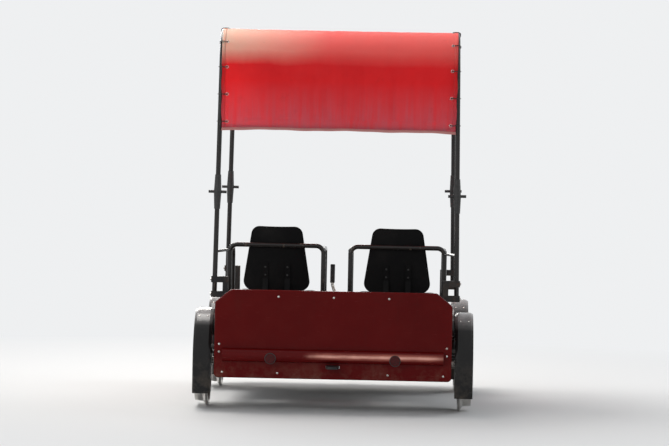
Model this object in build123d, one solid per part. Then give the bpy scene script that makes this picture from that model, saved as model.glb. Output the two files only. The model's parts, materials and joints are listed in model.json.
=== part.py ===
from build123d import *
from math import asin, atan2, cos, hypot, pi, radians, sin, sqrt, tan
import os

# Two-seat pedal rail car. Millimetres: +X right, +Y forward, +Z up.
# The origin is on the ground under the middle of the car; the wheel flanges stand on Z = 0.

# Running gear
tread_radius = 225
flange_depth = 25
flange_back_x = 685
flange_width = 24
wheel_outer_x = 758
wheelbase = 1300
axle_radius = 20
rim_thickness = 24
web_thickness = 14
hub_radius = 46
hub_length = 74
axle_nut_radius = 30
axle_nut_width = 5
bearing_width = 34
bearing_radius = 40
bearing_foot_length = 130
bearing_foot = 14
web_hole_count = 6
web_hole_radius = 27
web_hole_circle = 122
running_fit = 0.05
seat_gap = 0.3

flange_radius = tread_radius + flange_depth
axle_z = flange_radius
front_axle_y = wheelbase / 2
rear_axle_y = -wheelbase / 2

# Chassis
rail_inner_x = 575
rail_width = 50
rail_bottom_z = 300
rail_height = 80
rail_half_length = 925
beam_size = 40
floor_thickness = 5
floor_rear_y = -140
floor_front_gap = 45
chain_slot_half = 22
chain_slot_rear = 50
chain_slot_front = 75
deck_front_y = -350
deck_thickness = 4

floor_front_y = rail_half_length - floor_front_gap
rail_outer_x = rail_inner_x + rail_width
rail_top_z = rail_bottom_z + rail_height
rail_mid_x = (rail_inner_x + rail_outer_x) / 2
beam_top_z = rail_bottom_z + beam_size
floor_bottom_z = rail_bottom_z - floor_thickness

# Seats and their tubes
seat_x = 340
seat_tube_size = 40
seat_rear_y = -320
seat_front_y = 70
seat_frame_top_z = 540
seat_tube_bottom_z = seat_frame_top_z - seat_tube_size
armrest_offset_x = 264
armrest_radius = 13
armrest_top_z = 893
armrest_drop = 24
armrest_bend = 70
tie_z = 850
tie_radius = 8
hoop_corner = 42
strap_offset = 62
strap_width = 30
strap_thickness = 6
strap_low_bend_z = 600
strap_high_bend_z = 690
strap_top_z = 780
pan_width = 430
pan_depth = 420
pan_rear_y = -285
pan_floor_z = 566
pan_wall = 8
pan_dish_radius = 1150
pan_corner = 70
pan_riser_rear = 120
pan_riser_front = 60
back_top_width = 268
back_bottom_width = 378
back_bottom_z = 622
back_height = 360
back_wall = 8
back_curve_radius = 430
back_recline = 8
back_corner = 45

# Cranks, chain wheels and chains
crank_y = 495
crank_z = 520
crank_beam_lead = 235
crank_arm = 150
crank_arm_inner = 72
crank_arm_thickness = 16
spindle_radius = 9
bracket_half = 40
bracket_radius = 24
crank_post_half = 18
crank_boss_radius = 18
crank_eye_radius = 13
pedal_clearance = 5
pedal_width = 88
pedal_length = 92
pedal_height = 26
pedal_axle_radius = 7
pedal_bar = 14
pedal_end = 8
chain_pitch = 19.05
ring_teeth = 28
ring_hole_count = 5
ring_hole_circle = 0.62
ring_hole_share = 0.2
tooth_depth = 7
tooth_root_share = 0.32
tooth_tip_share = 0.12
axle_teeth = 14
chain_offset = 52
sprocket_width = 6
roller_radius = 5.2
roller_clearance = 0.5
link_half_height = 8.6
link_waist = 6
link_plate = 2.4
link_plate_gap = 10
guard_clearance = 12
cover_wall = 2.5
cover_half = 15
cover_plate = 5
cover_lift = 10
cover_web_width = 44
cover_clamp = 9

# Wheel guards
guard_radius = 292
guard_wall = 4
guard_lip = 27
guard_inner_x = 664
guard_outer_x = 762
guard_shoulder = 14
guard_front_angle = 25
guard_flap_bottom_z = 90
stay_front_lead = 4
stay_rear_angle = 160
stay_radius = 10

# Body panels
panel_half_width = 645
panel_bottom_z = 180
panel_top_z = 660
panel_corner_x = 86
panel_corner_z = 69
panel_depth = 25
panel_wall = 5
panel_edge = 9
panel_round = 22
tongue_slot_gap = 2
front_panel_top_z = 560
side_panel_wall = 4
side_panel_drop = 10
side_step_rise = 25
side_front_flat = 190
side_front_slope = 420
side_rear_slope = 560
side_rear_flat = 330
side_corner = 90
bumper_z = 306
bumper_half_height = 36
bumper_half_length = 600
bumper_base = 6
reflector_x = 338
reflector_z = 291
reflector_radius = 27
reflector_proud = 4
tongue_z = 250
tongue_thickness = 12
tongue_width = 70
tongue_reach = 1060
tow_bore_radius = 12
tongue_setback = 14

# Canopy
post_radius = 13.5
post_foot_x = 671
post_lean = 0.8
rear_post_y = -580
front_post_y = 740
post_foot_z = 596
hoop_top_z = 2073
hoop_bend = 180
collar_z = 1180
collar_height = 190
collar_radius = 21
collar_lip = 3
collar_pin_reach = 50
collar_pin_radius = 8
sheet_wall = 3
sheet_overlap = 2
rear_hem_z = 1525
front_hem_z = 1790
cross_tube_radius = 11
hem_tube_rise = 20
upright_size = 30
upright_top_z = 712
saddle_height = 34
saddle_wall = 4

# Hand brake
lever_y = -100
lever_pivot_z = 395
lever_grip_z = 766
brake_shaft_radius = 10
brake_shaft_y = rear_axle_y + 285
brake_shaft_z = 276
lever_radius = 9
lever_pin_radius = 6
lever_x = 12
lever_cheek_gap = 24
lever_cheek = 6
lever_foot = 40
lever_straight = 140
lever_grip_x = -28
lever_rake = 40
lever_tip_rake = 20
lever_grip = 115
lever_bend = 60
lever_pin_proud = 4
cheek_depth = 40
cheek_rise = 18
cheek_base = 6
hanger_width = 30
hanger_depth = 44
brake_rod_radius = 5
brake_arm = 12
shoe_clearance = 6
shoe_thickness = 22
shoe_margin = 6
shoe_inset = 8
shoe_below = 50
shoe_above = 60
brake_bar_inset = 10
brake_bar_width = 16
brake_bar_half = 14
brake_rod_lift = 2

axles = {"front": front_axle_y, "rear": rear_axle_y}
sides = {"left": -1, "right": 1}


def block(x0, x1, y0, y1, z0, z1):
    """A box from its low corner to its high corner."""
    return Pos((x0 + x1) / 2, (y0 + y1) / 2, (z0 + z1) / 2) * Box(x1 - x0, y1 - y0, z1 - z0)


def rod(start, end, radius):
    """A round bar from one point to another."""
    run = Vector(*end) - Vector(*start)
    place = Plane(origin=start, z_dir=run)
    return extrude(place * Circle(radius), amount=run.length)


def bent_tube(points, radius, bend):
    """A round tube along straight runs joined by arcs."""
    path = FilletPolyline(*points, radius=bend)
    section = Plane(origin=path @ 0, z_dir=path % 0) * Circle(radius)
    return sweep(section, path=path)


def on_side(solid, side):
    """The right-hand solid as it is, or its mirror image for the left."""
    return solid if side > 0 else mirror(solid, about=Plane.YZ)


def turned_about_axle(profile_points, y, arc=360):
    """A profile of (x, radius) points turned about the axle at y."""
    face = make_face(Polyline(*[(x, 0, r) for x, r in profile_points], close=True))
    return Pos(0, y, axle_z) * revolve(face, axis=Axis.X, revolution_arc=arc)


def wheel(side, y):
    """A cast rail wheel: flange, coned tread, rim, drilled web and hub."""
    inner = flange_back_x
    tread_x = inner + flange_width
    web_x = (inner + wheel_outer_x) / 2
    rim_radius = tread_radius - rim_thickness
    hub_x0 = web_x - hub_length / 2
    hub_x1 = web_x + hub_length / 2
    bore = axle_radius + running_fit
    profile = [
        (hub_x0, bore), (hub_x1, bore), (hub_x1, hub_radius),
        (web_x + web_thickness / 2, hub_radius + 10), (web_x + web_thickness / 2, rim_radius - 10),
        (wheel_outer_x, rim_radius), (wheel_outer_x, tread_radius - 3), (tread_x + 5, tread_radius),
        (tread_x, tread_radius + 6), (inner + flange_width / 2, flange_radius), (inner + 5, flange_radius),
        (inner, flange_radius - 6), (inner, rim_radius),
        (web_x - web_thickness / 2, rim_radius - 10), (web_x - web_thickness / 2, hub_radius + 10),
        (hub_x0, hub_radius),
    ]
    body = turned_about_axle(profile, y)
    for turn in range(web_hole_count):
        angle = radians(turn * 360 / web_hole_count + 30)
        hole_y = y + web_hole_circle * cos(angle)
        hole_z = axle_z + web_hole_circle * sin(angle)
        body -= rod((inner, hole_y, hole_z), (wheel_outer_x, hole_y, hole_z), web_hole_radius)
    return on_side(body, side)


def axle_shaft(y):
    """The through axle with the thin lock nuts that hold its wheels."""
    half = (flange_back_x + wheel_outer_x) / 2 + hub_length / 2
    shaft = rod((-half, y, axle_z), (half, y, axle_z), axle_radius)
    for side in sides.values():
        place = Plane(origin=(half, y, axle_z), z_dir=(1, 0, 0), x_dir=(0, 1, 0))
        shaft += on_side(extrude(place * RegularPolygon(axle_nut_radius, 6), amount=axle_nut_width), side)
    return shaft


def axle_bearing(side, y):
    """A pillow block hung under the side rail, bored for the axle."""
    x0 = rail_mid_x - bearing_width / 2
    place = Plane(origin=(x0, y, axle_z), z_dir=(1, 0, 0), x_dir=(0, 1, 0))
    foot = rail_bottom_z - axle_z
    outline = Circle(bearing_radius) + Pos(0, foot / 2) * Rectangle(2 * bearing_radius, foot)
    outline += Pos(0, foot - bearing_foot / 2) * Rectangle(bearing_foot_length, bearing_foot)
    outline -= Circle(axle_radius + running_fit)
    return on_side(extrude(place * outline, amount=bearing_width), side)


def side_rail(side):
    """One side rail of the chassis."""
    rail = block(rail_inner_x, rail_outer_x, -rail_half_length, rail_half_length, rail_bottom_z, rail_top_z)
    return on_side(rail, side)


def cross_beam(y):
    """A beam across the chassis between the side rails."""
    half = beam_size / 2
    return block(-rail_inner_x, rail_inner_x, y - half, y + half, rail_bottom_z, beam_top_z)


beam_places = {
    "tail": -rail_half_length + beam_size / 2,
    "rear": -480,
    "brake": lever_y,
    "mid": 320,
    "crank": crank_y + crank_beam_lead,
    "nose": rail_half_length - beam_size / 2,
}


def floor_plate():
    """The foot plate under the beams, slotted where the chains pass."""
    plate = block(-rail_inner_x, rail_inner_x, floor_rear_y, floor_front_y, floor_bottom_z, rail_bottom_z)
    chain_x = seat_x - chain_offset
    for side in sides.values():
        slot = block(chain_x - chain_slot_half, chain_x + chain_slot_half, crank_y + chain_slot_rear,
                     front_axle_y + chain_slot_front, floor_bottom_z, rail_bottom_z)
        plate -= on_side(slot, side)
    return plate


def rear_deck():
    """The plate over the rails behind the seats."""
    return block(-rail_outer_x, rail_outer_x, -rail_half_length, deck_front_y, rail_top_z,
                 rail_top_z + deck_thickness)


def wheel_guard(side, y):
    """A pressed wheel guard: shouldered crown, side lips and a straight rear flap."""
    top = guard_radius
    low = guard_radius - guard_lip
    wall = guard_wall
    x0 = guard_inner_x
    x1 = guard_outer_x
    step = guard_shoulder
    profile = [
        (x0, low), (x0, top - step / 2), (x0 + step, top), (x1 - step, top), (x1, top - step / 2), (x1, low),
        (x1 - wall, low), (x1 - wall, top - step / 2 - wall / 2), (x1 - step, top - wall),
        (x0 + step, top - wall), (x0 + wall, top - step / 2 - wall / 2), (x0 + wall, low),
    ]
    section = make_face(Polyline(*[(x, r, 0) for x, r in profile], close=True))
    arch = revolve(section, axis=Axis.X, revolution_arc=180 - guard_front_angle)
    arch = Rot(guard_front_angle, 0, 0) * arch
    tail = make_face(Polyline(*[(x, -r, 0) for x, r in profile], close=True))
    flap = extrude(tail, amount=guard_flap_bottom_z - axle_z)
    return on_side(Pos(0, y, axle_z) * (arch + flap), side)


def guard_stays():
    """Spacer studs from the side panels to the inner lips of the wheel guards."""
    studs = []
    for side in sides.values():
        for y in axles.values():
            for angle in (guard_front_angle + stay_front_lead, stay_rear_angle):
                radius = guard_radius - guard_lip / 2
                stud_y = y + radius * cos(radians(angle))
                stud_z = axle_z + radius * sin(radians(angle))
                start = (rail_outer_x + side_panel_wall, stud_y, stud_z)
                studs.append(on_side(rod(start, (guard_inner_x, stud_y, stud_z), stay_radius), side))
    return studs


def end_panel(face_y, top_z, forward):
    """A moulded end panel, hollow towards the car, with clipped upper corners."""
    half = panel_half_width
    outline = Polyline(
        (-half, panel_bottom_z), (half, panel_bottom_z), (half, top_z - panel_corner_z),
        (half - panel_corner_x, top_z), (-half + panel_corner_x, top_z), (-half, top_z - panel_corner_z),
        close=True,
    )
    shape = make_face(outline)
    shape = fillet(shape.vertices(), radius=panel_round)
    place = Plane(origin=(0, face_y, 0), x_dir=(1, 0, 0), z_dir=(0, -1, 0))
    depth = -panel_depth
    shell = extrude(place * shape, amount=depth)
    outer_face = shell.faces().sort_by(Axis.Y)[0]
    shell = fillet(outer_face.edges(), radius=panel_edge)
    inside = place.offset(-panel_wall) * offset(shape, amount=-panel_wall)
    shell -= extrude(inside, amount=depth)
    for side in sides.values():
        boss = block(rail_inner_x, rail_outer_x, face_y + panel_wall, face_y + panel_depth,
                     rail_bottom_z, rail_top_z)
        shell += on_side(boss, side)
    slot_half = tongue_width / 2 + tongue_slot_gap
    slot_rise = tongue_thickness / 2 + tongue_slot_gap
    slot = block(-slot_half, slot_half, face_y, face_y + panel_depth,
                 tongue_z - slot_rise, tongue_z + slot_rise)
    shell -= slot
    return mirror(shell, about=Plane.XZ) if forward else shell


def side_panel(side):
    """A side panel on the outside of the rail, low at the step and swept up at both ends."""
    end = rail_half_length
    low = rail_bottom_z - side_panel_drop
    step = rail_top_z + side_step_rise
    rear_top = panel_top_z - panel_corner_z
    front_top = front_panel_top_z - panel_corner_z
    outline = Polyline(
        (-end, low), (end, low), (end, front_top), (end - side_front_flat, front_top),
        (end - side_front_slope, step), (-end + side_rear_slope, step), (-end + side_rear_flat, rear_top),
        (-end, rear_top), close=True,
    )
    shape = make_face(outline)
    corners = [v for v in shape.vertices() if abs(v.X) < end - side_corner]
    shape = fillet(corners, radius=side_corner)
    place = Plane(origin=(rail_outer_x, 0, 0), x_dir=(0, 1, 0), z_dir=(1, 0, 0))
    return on_side(extrude(place * shape, amount=side_panel_wall), side)


def bumper(forward):
    """A D-section bumper bar across the end panel, with seats for the reflectors at the rear."""
    face_y = -rail_half_length - panel_depth
    place = Plane(origin=(-bumper_half_length, face_y, bumper_z), x_dir=(0, -1, 0), z_dir=(1, 0, 0))
    half = bumper_half_height
    section = Pos(bumper_base, 0) * (Circle(half) & Pos(half / 2, 0) * Rectangle(half, 2 * half))
    section += Pos(bumper_base / 2, 0) * Rectangle(bumper_base, 2 * half)
    bar = extrude(place * section, amount=2 * bumper_half_length)
    if forward:
        return mirror(bar, about=Plane.XZ)
    for side in sides.values():
        seat = rod((reflector_x, face_y - half, reflector_z), (reflector_x, face_y - 2 * half, reflector_z),
                   reflector_radius + running_fit)
        bar -= on_side(seat, side)
    return bar


def tow_tongue(forward):
    """A tow tongue with its pin hole, on a hanger under the end beam."""
    half = tongue_width / 2
    z0 = tongue_z - tongue_thickness / 2
    hanger_y = -rail_half_length
    root_y = hanger_y + beam_size
    eye_y = -tongue_reach + half
    tongue = Pos(0, 0, z0) * extrude(
        Pos(0, (eye_y + root_y) / 2) * Rectangle(tongue_width, root_y - eye_y) + Pos(0, eye_y) * Circle(half),
        amount=tongue_thickness,
    )
    tongue -= rod((0, eye_y, z0), (0, eye_y, z0 + tongue_thickness), tow_bore_radius)
    hanger = block(-half, half, hanger_y + tongue_setback, root_y, z0, rail_bottom_z)
    whole = tongue + hanger
    return mirror(whole, about=Plane.XZ) if forward else whole


def reflector(side):
    """A round reflector let into the face of the rear bumper."""
    face_y = -rail_half_length - panel_depth
    back_y = face_y - bumper_half_height
    front_y = face_y - bumper_half_height - bumper_base - reflector_proud
    body = rod((reflector_x, back_y, reflector_z), (reflector_x, front_y, reflector_z), reflector_radius)
    return on_side(body, side)


def seat_tube(y):
    """A square tube across the car that carries both seats."""
    half = seat_tube_size / 2
    return block(-rail_outer_x, rail_outer_x, y - half, y + half, seat_tube_bottom_z, seat_frame_top_z)


def seat_leg(side, y):
    """A leg under the end of a seat tube, standing on the side rail."""
    half = seat_tube_size / 2
    leg = block(rail_mid_x - half, rail_mid_x + half, y - half, y + half, rail_top_z, seat_tube_bottom_z)
    return on_side(leg, side)


def seat_tie(side):
    """The fore-and-aft tube under a seat, between the two seat tubes."""
    half = seat_tube_size / 2
    tie = block(seat_x - half, seat_x + half, seat_rear_y + half, seat_front_y - half,
                seat_tube_bottom_z, seat_frame_top_z)
    return on_side(tie, side)


def armrest_arm(x):
    """A tube from the seat's rear hoop, forward and down to the front seat tube."""
    z = armrest_top_z - armrest_radius - armrest_drop
    points = [(x, seat_rear_y, z), (x, seat_front_y, z), (x, seat_front_y, seat_frame_top_z)]
    return bent_tube(points, armrest_radius, armrest_bend)


def armrest_set(side):
    """The square hoop behind one seat, its two forward arms and the straps that hold the back."""
    inner = seat_x - armrest_offset_x
    outer = seat_x + armrest_offset_x
    top = armrest_top_z - armrest_radius
    hoop = bent_tube([(inner, seat_rear_y, seat_frame_top_z), (inner, seat_rear_y, top),
                      (outer, seat_rear_y, top), (outer, seat_rear_y, seat_frame_top_z)],
                     armrest_radius, hoop_corner)
    hoop += armrest_arm(inner) + armrest_arm(outer)
    return on_side(hoop, side)


def back_rear_y(z):
    """Where the middle of a seat back's rear face stands at a height."""
    clear = (armrest_radius + seat_gap) / cos(radians(back_recline))
    return seat_rear_y + clear + (armrest_top_z - armrest_radius - z) * tan(radians(back_recline))


def back_strap(side, way):
    """A flat strap, bent twice, from the rear seat tube up behind a seat back."""
    foot_y = seat_rear_y + seat_tube_size / 2 + seat_gap + strap_thickness
    edge = strap_offset - strap_width / 2
    hollow = back_curve_radius - sqrt(back_curve_radius ** 2 - edge ** 2) - seat_gap
    front = [(foot_y, seat_tube_bottom_z), (foot_y, strap_low_bend_z)]
    front += [(back_rear_y(z) + hollow, z) for z in (strap_high_bend_z, strap_top_z)]
    rear = [(y - strap_thickness, z) for y, z in reversed(front)]
    place = Plane(origin=(seat_x + way * strap_offset, 0, 0), x_dir=(0, 1, 0), z_dir=(1, 0, 0))
    strap = extrude(place * make_face(Polyline(*front, *rear, close=True)), amount=strap_width / 2, both=True)
    return on_side(strap, side)


def seat_pan(side):
    """A moulded seat pan, dished both ways, with a plan of rounded corners."""
    mid_y = pan_rear_y + pan_depth / 2
    centre_z = pan_floor_z + pan_dish_radius
    dish = Pos(seat_x, mid_y, centre_z) * (Sphere(pan_dish_radius) - Sphere(pan_dish_radius - pan_wall))
    plan = Pos(seat_x, mid_y, pan_floor_z - pan_wall) * RectangleRounded(pan_width, pan_depth, pan_corner)
    plan = extrude(plan, amount=pan_dish_radius)
    pan = dish & plan
    riser_top = pan_floor_z + pan_wall / 4
    riser = block(seat_x - seat_tube_size / 2, seat_x + seat_tube_size / 2,
                  mid_y - pan_riser_rear, mid_y + pan_riser_front, seat_frame_top_z, riser_top)
    pan += riser - Pos(seat_x, mid_y, centre_z) * Sphere(pan_dish_radius - pan_wall / 2)
    return on_side(pan, side)


def seat_back(side):
    """A moulded seat back: a curved shell with a narrower, rounded top, leaning back."""
    half_top = back_top_width / 2
    half_low = back_bottom_width / 2
    outline = make_face(Polyline((-half_low, 0), (half_low, 0), (half_top, back_height),
                                 (-half_top, back_height), close=True))
    outline = fillet(outline.vertices(), radius=back_corner)
    wide = Plane(origin=(0, -back_curve_radius, 0), x_dir=(1, 0, 0), z_dir=(0, -1, 0))
    block_cut = extrude(wide * outline, amount=-back_curve_radius)
    column = Cylinder(back_curve_radius, back_height, align=(Align.CENTER, Align.CENTER, Align.MIN))
    column -= Cylinder(back_curve_radius - back_wall, back_height,
                       align=(Align.CENTER, Align.CENTER, Align.MIN))
    shell = Pos(0, back_curve_radius, 0) * (column & block_cut)
    lean = Rot(back_recline, 0, 0)
    return on_side(Pos(seat_x, back_rear_y(back_bottom_z), back_bottom_z) * lean * shell, side)


def crank_stand(side):
    """A short chassis beam between two cross beams, with the upright and bracket shell of one crank."""
    half = beam_size / 2
    y0 = beam_places["mid"] + half
    y1 = beam_places["crank"] - half
    beam = block(seat_x - half, seat_x + half, y0, y1, rail_bottom_z, beam_top_z)
    shell = rod((seat_x - bracket_half, crank_y, crank_z), (seat_x + bracket_half, crank_y, crank_z),
                bracket_radius)
    post = crank_post_half
    upright = beam + block(seat_x - post, seat_x + post, crank_y - post, crank_y + post, beam_top_z, crank_z)
    bore = rod((seat_x - bracket_half, crank_y, crank_z), (seat_x + bracket_half, crank_y, crank_z),
               spindle_radius + running_fit)
    return on_side(shell + upright - bore, side)


def pitch_radius(teeth):
    """The radius of the chain's pin circle on a wheel of so many teeth."""
    return chain_pitch / (2 * sin(pi / teeth))


def sprocket(x, y, z, teeth, bore, holes):
    """A toothed wheel whose teeth run between the chain's side plates, under its rollers."""
    tip = pitch_radius(teeth) - roller_radius - roller_clearance
    root = tip - tooth_depth
    step = 2 * pi / teeth
    points = []
    for tooth in range(teeth):
        middle = tooth * step
        for share, radius in ((-tooth_root_share, root), (-tooth_tip_share, tip), (tooth_tip_share, tip),
                              (tooth_root_share, root)):
            angle = middle + share * step
            points.append((radius * cos(angle), radius * sin(angle)))
    disc = make_face(Polyline(*points, close=True))
    disc -= Circle(bore)
    for index in range(holes):
        angle = 2 * pi * index / holes
        circle = ring_hole_circle * root
        disc -= Pos(circle * cos(angle), circle * sin(angle)) * Circle(ring_hole_share * root)
    place = Plane(origin=(x - sprocket_width / 2, y, z), z_dir=(1, 0, 0), x_dir=(0, 1, 0))
    return extrude(place * disc, amount=sprocket_width)


def crank_set(side):
    """The spindle, both arms and the chain wheel of one rider, as (spindle and arms, wheel)."""
    arm_outer = crank_arm_inner + crank_arm_thickness
    spindle = rod((seat_x - arm_outer, crank_y, crank_z), (seat_x + arm_outer, crank_y, crank_z),
                  spindle_radius)
    arms = spindle
    for way in (-1, 1):
        x0 = seat_x + way * crank_arm_inner
        place = Plane(origin=(x0, crank_y, crank_z), z_dir=(way, 0, 0), x_dir=(0, 1, 0))
        reach = way * side * crank_arm
        outline = make_hull((Circle(crank_boss_radius) + Pos(reach, 0) * Circle(crank_eye_radius)).edges())
        bore = Pos(reach, 0) * Circle(pedal_axle_radius + running_fit)
        arms += extrude(place * (outline - bore), amount=crank_arm_thickness)
    chain_x = seat_x - chain_offset
    ring = sprocket(chain_x, crank_y, crank_z, ring_teeth, spindle_radius, ring_hole_count)
    return arms, ring


def pedal_place(side, way):
    """Where a pedal's axle leaves its crank arm, for the seat on the right."""
    arm_outer = crank_arm_inner + crank_arm_thickness
    return seat_x + way * arm_outer, crank_y + way * side * crank_arm, crank_z


def pedal(side, way):
    """A platform pedal: two treads joined by end plates round a boss."""
    x, y, z = pedal_place(side, way)
    near = pedal_clearance
    far = near + pedal_width
    half = pedal_length / 2
    tall = pedal_height / 2
    body = rod((x - way * crank_arm_thickness, y, z), (x + way * far, y, z), pedal_axle_radius)
    ends = sorted((x + way * near, x + way * far))
    frame = block(ends[0], ends[1], y - half, y + half, z - tall, z + tall)
    for sign in (-1, 1):
        window = sorted((y + sign * pedal_bar, y + sign * (half - pedal_bar)))
        frame -= block(ends[0] + pedal_end, ends[1] - pedal_end, window[0], window[1], z - tall, z + tall)
    return body + frame


def chain_loop(side):
    """The closed chain round both toothed wheels: scalloped side plates joined by rollers."""
    big = pitch_radius(ring_teeth)
    small = pitch_radius(axle_teeth)
    run_y = front_axle_y - crank_y
    run_z = axle_z - crank_z
    spacing = hypot(run_y, run_z)
    heading = atan2(run_z, run_y)
    lean = asin((big - small) / spacing)
    straight = spacing * cos(lean)
    big_arc = big * (pi + 2 * lean)
    small_arc = small * (pi - 2 * lean)
    total = 2 * straight + big_arc + small_arc
    link_count = 2 * round(total / chain_pitch / 2)

    def at(distance, rise):
        """The point at a distance along the loop, so far outside the pin line."""
        if distance < small_arc:
            angle = heading - (pi / 2 - lean) + distance / small
            radius = small + rise
            return front_axle_y + radius * cos(angle), axle_z + radius * sin(angle)
        distance -= small_arc
        if distance < straight:
            angle = heading + pi / 2 - lean
            start = (front_axle_y + (small + rise) * cos(angle), axle_z + (small + rise) * sin(angle))
            return start[0] + distance * cos(angle + pi / 2), start[1] + distance * sin(angle + pi / 2)
        distance -= straight
        if distance < big_arc:
            angle = heading + pi / 2 - lean + distance / big
            radius = big + rise
            return crank_y + radius * cos(angle), crank_z + radius * sin(angle)
        distance -= big_arc
        angle = heading - (pi / 2 - lean)
        start = (crank_y + (big + rise) * cos(angle), crank_z + (big + rise) * sin(angle))
        return start[0] + distance * cos(angle + pi / 2), start[1] + distance * sin(angle + pi / 2)

    step = total / link_count
    outer = []
    inner = []
    for link in range(link_count):
        for share, height in ((0, link_half_height), (0.5, link_waist)):
            outer.append(at((link + share) * step, height))
            inner.append(at((link + share) * step, -height))
    plate = make_face(Polyline(*outer, close=True)) - make_face(Polyline(*inner, close=True))
    chain_x = seat_x - chain_offset
    chain = None
    for way in (-1, 1):
        near = chain_x + way * link_plate_gap / 2
        place = Plane(origin=(near, 0, 0), z_dir=(way, 0, 0), x_dir=(0, 1, 0))
        turned = plate if way > 0 else mirror(plate, about=Plane.XZ)
        band = extrude(place * turned, amount=link_plate)
        chain = band if chain is None else chain + band
    rollers = []
    for link in range(link_count):
        y, z = at(link * step, 0)
        place = Plane(origin=(chain_x - link_plate_gap / 2, y, z), z_dir=(1, 0, 0), x_dir=(0, 1, 0))
        rollers.append(extrude(place * RegularPolygon(roller_radius, 6), amount=link_plate_gap))
    chain = chain.fuse(*rollers)
    return on_side(chain, side)


def brake_lever():
    """The hand-brake lever between the seats, with its pivot pin."""
    points = [
        (lever_x, lever_y, lever_pivot_z - lever_foot),
        (lever_x, lever_y, lever_pivot_z + lever_straight),
        (lever_grip_x, lever_y + lever_rake, lever_grip_z - lever_grip),
        (lever_grip_x, lever_y + lever_rake + lever_tip_rake, lever_grip_z),
    ]
    lever = bent_tube(points, lever_radius, lever_bend)
    reach = lever_cheek_gap / 2 + lever_cheek + lever_pin_proud
    lever += rod((lever_x - reach, lever_y, lever_pivot_z), (lever_x + reach, lever_y, lever_pivot_z),
                 lever_pin_radius)
    return lever


def brake_bracket():
    """Two cheeks on the brake beam, bored for the lever's pivot pin."""
    near = lever_cheek_gap / 2
    far = near + lever_cheek
    y0 = lever_y - cheek_depth / 2
    y1 = lever_y + cheek_depth / 2
    base = block(lever_x - far, lever_x + far, y0, y1, beam_top_z, beam_top_z + cheek_base)
    for way in (-1, 1):
        x0, x1 = sorted((lever_x + way * near, lever_x + way * far))
        base += block(x0, x1, y0, y1, beam_top_z, lever_pivot_z + cheek_rise)
    return base - rod((lever_x - far, lever_y, lever_pivot_z), (lever_x + far, lever_y, lever_pivot_z),
                      lever_pin_radius + running_fit)


def brake_hanger(side):
    """A bored hanger under the side rail for the brake cross shaft."""
    x0 = rail_mid_x - hanger_width / 2
    x1 = rail_mid_x + hanger_width / 2
    hanger = block(x0, x1, brake_shaft_y - hanger_depth / 2, brake_shaft_y + hanger_depth / 2,
                   brake_shaft_z - 2 * brake_shaft_radius, rail_bottom_z)
    bore = rod((x0, brake_shaft_y, brake_shaft_z), (x1, brake_shaft_y, brake_shaft_z),
               brake_shaft_radius + running_fit)
    return on_side(hanger - bore, side)


def brake_gear():
    """The cross shaft under the rails, its arms and the shoes in front of the rear treads."""
    reach = wheel_outer_x - shoe_margin
    shaft = rod((-reach, brake_shaft_y, brake_shaft_z), (reach, brake_shaft_y, brake_shaft_z),
                brake_shaft_radius)
    gear = shaft
    near = tread_radius + shoe_clearance
    for side in sides.values():
        face_x = flange_back_x + flange_width + shoe_inset
        ring = turned_about_axle([(face_x, near), (reach, near), (reach, near + shoe_thickness),
                                  (face_x, near + shoe_thickness)], rear_axle_y)
        window = block(face_x, wheel_outer_x, rear_axle_y, 0, axle_z - shoe_below, axle_z + shoe_above)
        shoe = ring & window
        arm_x = face_x + brake_bar_inset
        arm = block(arm_x, arm_x + brake_bar_width, rear_axle_y + near + shoe_thickness / 2,
                    brake_shaft_y + brake_shaft_radius, brake_shaft_z - brake_bar_half,
                    brake_shaft_z + brake_bar_half)
        gear += on_side(shoe + arm, side)
    half = brake_arm / 2
    gear += block(lever_x - half, lever_x + half, brake_shaft_y - half, brake_shaft_y + half,
                  brake_shaft_z, lever_pivot_z - lever_foot + 2 * (brake_rod_radius + brake_rod_lift))
    return gear


def brake_rod():
    """The pull rod from the lever's foot to the arm on the cross shaft."""
    z = lever_pivot_z - lever_foot + brake_rod_radius + brake_rod_lift
    start = (lever_x, lever_y - lever_radius - seat_gap, z)
    end = (lever_x, brake_shaft_y + brake_arm / 2, z)
    return rod(start, end, brake_rod_radius)


def leaned(solid):
    """Leans a right-hand canopy piece inwards about its foot."""
    foot = Pos(post_foot_x, 0, post_foot_z)
    return foot * (Rot(0, -post_lean, 0) * (foot.inverse() * solid))


def canopy_hoop(side):
    """One side hoop of the canopy: two posts and the roof tube, bent from one tube."""
    points = [
        (post_foot_x, rear_post_y, post_foot_z), (post_foot_x, rear_post_y, hoop_top_z),
        (post_foot_x, front_post_y, hoop_top_z), (post_foot_x, front_post_y, post_foot_z),
    ]
    return on_side(leaned(bent_tube(points, post_radius, hoop_bend)), side)


def post_x(z):
    """The distance of a post's centre line from the middle of the car at a height."""
    return post_foot_x - (z - post_foot_z) * sin(radians(post_lean))


def cross_tube(y, z):
    """A canopy tube from hoop to hoop."""
    reach = post_x(z) - post_radius - seat_gap
    return rod((-reach, y, z), (reach, y, z), cross_tube_radius)


cross_tubes = [
    # y, z
    (rear_post_y + hoop_bend, hoop_top_z),
    ((rear_post_y + front_post_y) / 2, hoop_top_z),
    (front_post_y - hoop_bend, hoop_top_z),
    (rear_post_y, rear_hem_z + hem_tube_rise),
    (front_post_y, front_hem_z + hem_tube_rise),
]


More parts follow.
